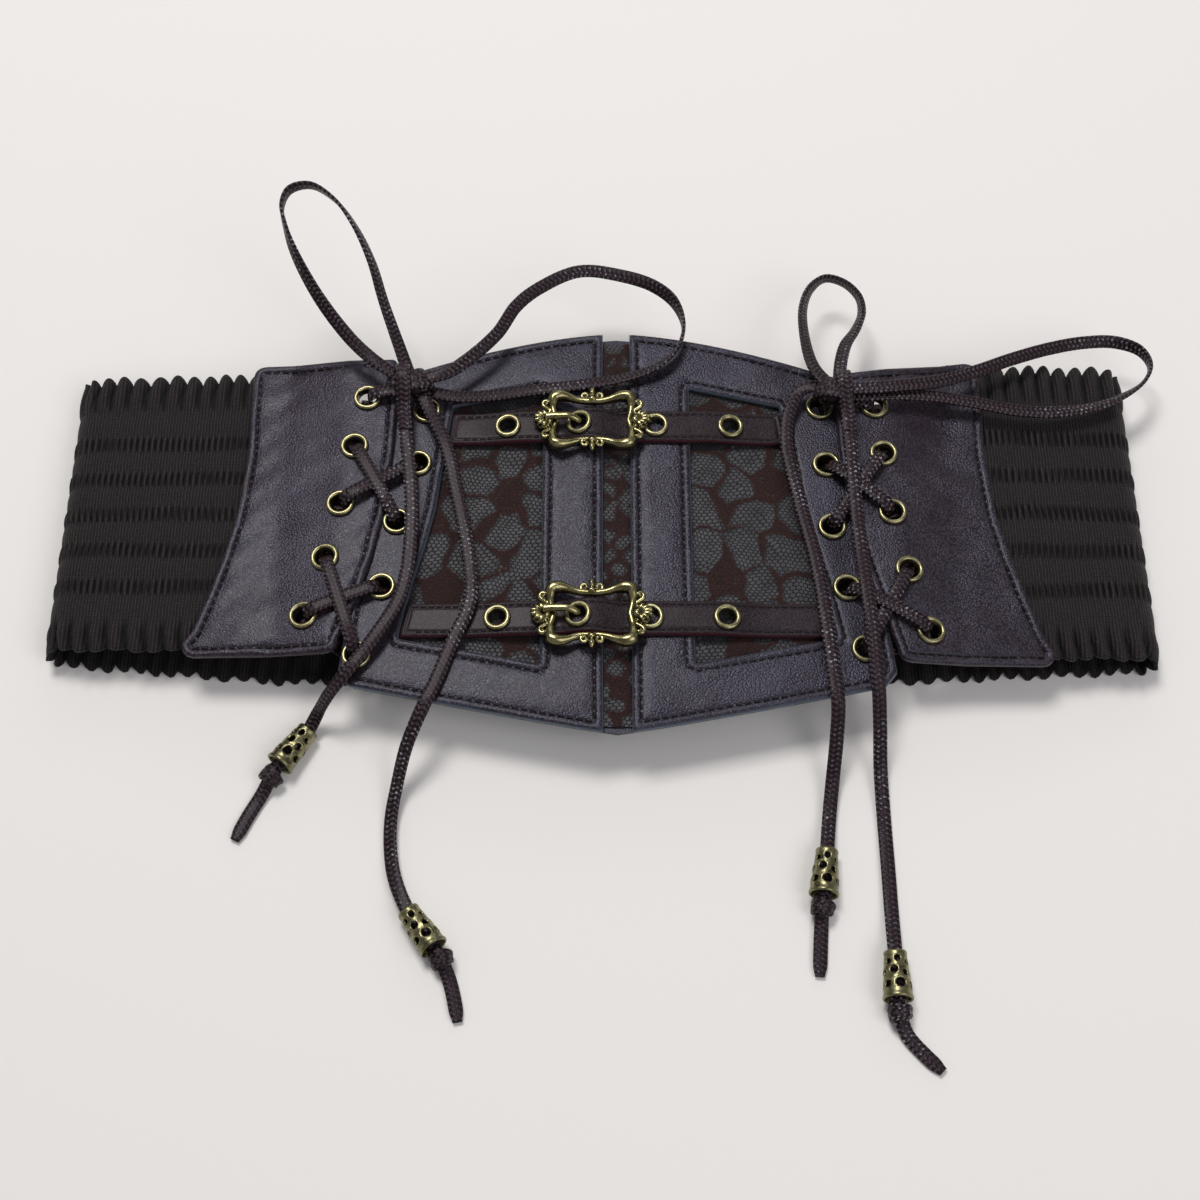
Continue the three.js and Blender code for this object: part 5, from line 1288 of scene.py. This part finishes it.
def elastic_material():
    n = Nodes("gathered_elastic", Sheen_Weight=0.05, Sheen_Roughness=0.4, Roughness=0.7,
              Specular_IOR_Level=0.3)
    uv = n.coords("UV")
    u, v = n.split(uv)
    ripple = n.noise(n.stretch(uv, (0.25, 0.25, 1)), 1.0, 2) * 2.4
    rib = n.math("SINE", u * (2 * math.pi / 1.05) + ripple)
    cross = n.math("SINE", v * (2 * math.pi / 0.72) + ripple)
    cloth = rib * 0.5 + cross * 0.3
    fuzz = n.noise(n.coords(), 1700, 3, 0.65)
    colour = n.ramp(cloth * 0.4 + fuzz * 0.9, (0.12, (0.003, 0.002, 0.002)), (0.48, (0.013, 0.009, 0.01)),
                    (0.78, (0.045, 0.033, 0.034)))
    # Painted shade: the fold field darkens the hollows of the pleats and puckers.
    n.set("Base Color", n.mix(n.ramp(n.field("fold"), (0.1, 0.0), (0.5, 0.9)), colour, (0.001, 0.001, 0.001)))
    n.set("Normal", n.bump(cloth + fuzz * 0.6, 0.0003, 0.8))
    return n.mat


band = settle(elastic(), elastic_material(), "gathered_elastic", "elastic_band")
BAND_RUN * GATHERED * MM

# Lace


def figures(points, seeds, solid):
    """Lace figures over the net: bands between the seeds' cells, and whole cells, with a corded edge."""
    warped = points + 1.7 * np.stack([waver(points, 31), waver(points, 32)], 1)
    far = np.hypot(warped[:, None, 0] - seeds[None, :, 0], warped[:, None, 1] - seeds[None, :, 1])
    nearest = np.sort(far, axis=1)
    rag = 0.5 * np.sin(points[:, 0] * 3.1 + 2 * np.sin(points[:, 1] * 1.9)) * np.sin(points[:, 1] * 3.7)
    edge = nearest[:, 1] - nearest[:, 0] - (1.6 + 1.6 * waver(points, 33)) + rag
    leaf = np.asarray(solid)[far.argmin(1)]
    dense = np.where(leaf | (edge < 0), 1.0, 0.0)
    cord = np.exp(-((edge / 0.42) ** 2)) * (1 - 0.6 * leaf)
    vein = leaf & (np.abs(edge - 1.6) < 0.4)
    return cord, np.where(vein, 0.42, dense)


def lace_patch(parts, loop, seeds, solid, step=0.42):
    """A fine grid inside a loop, raised where its figures are."""
    loop = np.asarray(loop, float)
    xs, ys = (np.arange(a, b, step) for a, b in zip(loop.min(0), loop.max(0)))
    points = lattice(xs, ys)
    faces = grid_faces(len(ys), len(xs))
    faces = faces[within(points, [loop])[faces].all(1)]
    cord, dense = figures(points, seeds, solid)
    z = under(points[:, 0]) + LACE_OFFSET + 0.35 + 0.3 * dense + 0.3 * cord + 0.08 * waver(points, 21)
    used, index = np.unique(faces, return_inverse=True)
    parts.put(np.column_stack([points, z])[used], index.reshape(faces.shape), points[used],
              dense=dense[used], cord=cord[used])


NET_PITCH, NET_ROW = 1.8, 1.25


def lace_material():
    """A dark honeycomb net over the backing's grey, and woven figures where the mesh is dense."""
    n = Nodes("floral_lace", Sheen_Weight=0.08, Sheen_Roughness=0.5, Specular_IOR_Level=0.3)
    uv = n.coords("UV")
    fuzz = n.noise(n.coords(), 1900, 3, 0.65)
    drift = n.noise(n.stretch(uv, (0.08, 0.08, 1)), 1.0, 1) * 5.0
    u, v = (way + drift for way in n.split(uv))
    climb = v * (math.pi / NET_ROW)
    ring = n.math("COSINE", u * (2 * math.pi / NET_PITCH)) * n.math("COSINE", climb) * 2.0
    ring = ring + n.math("COSINE", climb * 2.0)
    mesh = n.ramp(ring * 0.2 + 0.5, (0.24, 1.0), (0.42, 0.0))
    hole = n.ramp(n.noise(n.coords(), 260, 3), (0.3, (0.017, 0.016, 0.019)), (0.7, (0.055, 0.054, 0.062)))
    thread = n.ramp(fuzz, (0.36, (0.004, 0.0015, 0.0012)), (0.64, (0.04, 0.0115, 0.0095)))
    weave = n.math("SINE", (u + v) * (2 * math.pi / 0.8))
    ground = n.mix(mesh, hole, (0.008, 0.005, 0.006))
    solid = n.ramp(n.field("dense") + fuzz * 0.2, (0.42, 0.0), (0.66, 0.97))
    figure = n.mix(n.math("GREATER_THAN", weave, 0.5) * 0.3, thread, (0.008, 0.003, 0.003))
    figure = n.mix(n.field("cord") * 0.45, figure, (0.06, 0.02, 0.017))
    n.set("Base Color", n.mix(solid, ground, figure))
    n.set("Roughness", n.mix(solid, n.mix(mesh, (0.45, 0.45, 0.45), (0.8, 0.8, 0.8)), (0.85, 0.85, 0.85)))
    n.set("Normal", n.bump(mesh * 0.6 + fuzz * 0.5, 0.0003, 0.7))
    return n.mat


def lace_seeds(rng, blooms, low, high, apart):
    """Flower middles and petals, then single cells apart from them; tells which are solid."""
    seeds, solid = [], []
    for x, y, size, petals in blooms:
        turn = rng.uniform(0, 6.28)
        seeds.append((x, y))
        solid.append(True)
        for k in range(petals):
            a = turn + 2 * math.pi * k / petals
            seeds.append((x + size * 0.85 * math.cos(a), y + size * 0.85 * math.sin(a)))
            solid.append(False)
    for _ in range(900):
        spot = rng.uniform(low, high)
        if min(math.dist(spot, s) for s in seeds) > apart:
            seeds.append(tuple(spot))
            solid.append(bool(rng.random() < 0.2))
    return np.array(seeds), solid


# distance out from the front's middle, height, size, petals
BLOOMS = {-1: [(37, 12, 13, 6), (57, -24, 14, 5), (34, -42, 11, 5), (50, 40, 11, 5)],
          1: [(53, 16, 14, 6), (36, -20, 12, 5), (62, -38, 12, 5), (33, 44, 11, 5)]}


def lace():
    parts = Parts()
    rng = np.random.default_rng(12)
    for hand, rows in BLOOMS.items():
        loop = np.array(window_outline(hand, 2.2))
        blooms = [(FRONT_SHIFT + hand * out, y, size, petals) for out, y, size, petals in rows]
        lace_patch(parts, loop, *lace_seeds(rng, blooms, loop.min(0) - 6, loop.max(0) + 6, 13))
    low, high = -PANEL_DOWN + 3.2, PANEL_UP - 3
    strip = placed(1, [(-6, low), (6, low), (6, high), (-6, high)])
    blooms = [(FRONT_SHIFT + 1.5 * (-1) ** k, y, 6.0, 5) for k, y in enumerate(range(-60, 72, 30))]
    lace_patch(parts, strip, *lace_seeds(rng, blooms, (FRONT_SHIFT - 9, low), (FRONT_SHIFT + 9, high), 5.5))
    return parts.done("lace_panel")


net = settle(lace(), lace_material(), "floral_lace", "lace_panel")

# Floor

floor_mat = Nodes("floor", Roughness=0.8, Base_Color=(0.925, 0.895, 0.87)).mat
bpy.ops.mesh.primitive_plane_add(size=4, location=(0, 0, -0.0002))
floor = bpy.context.object
floor.name = "floor"
floor.data.materials.append(floor_mat)
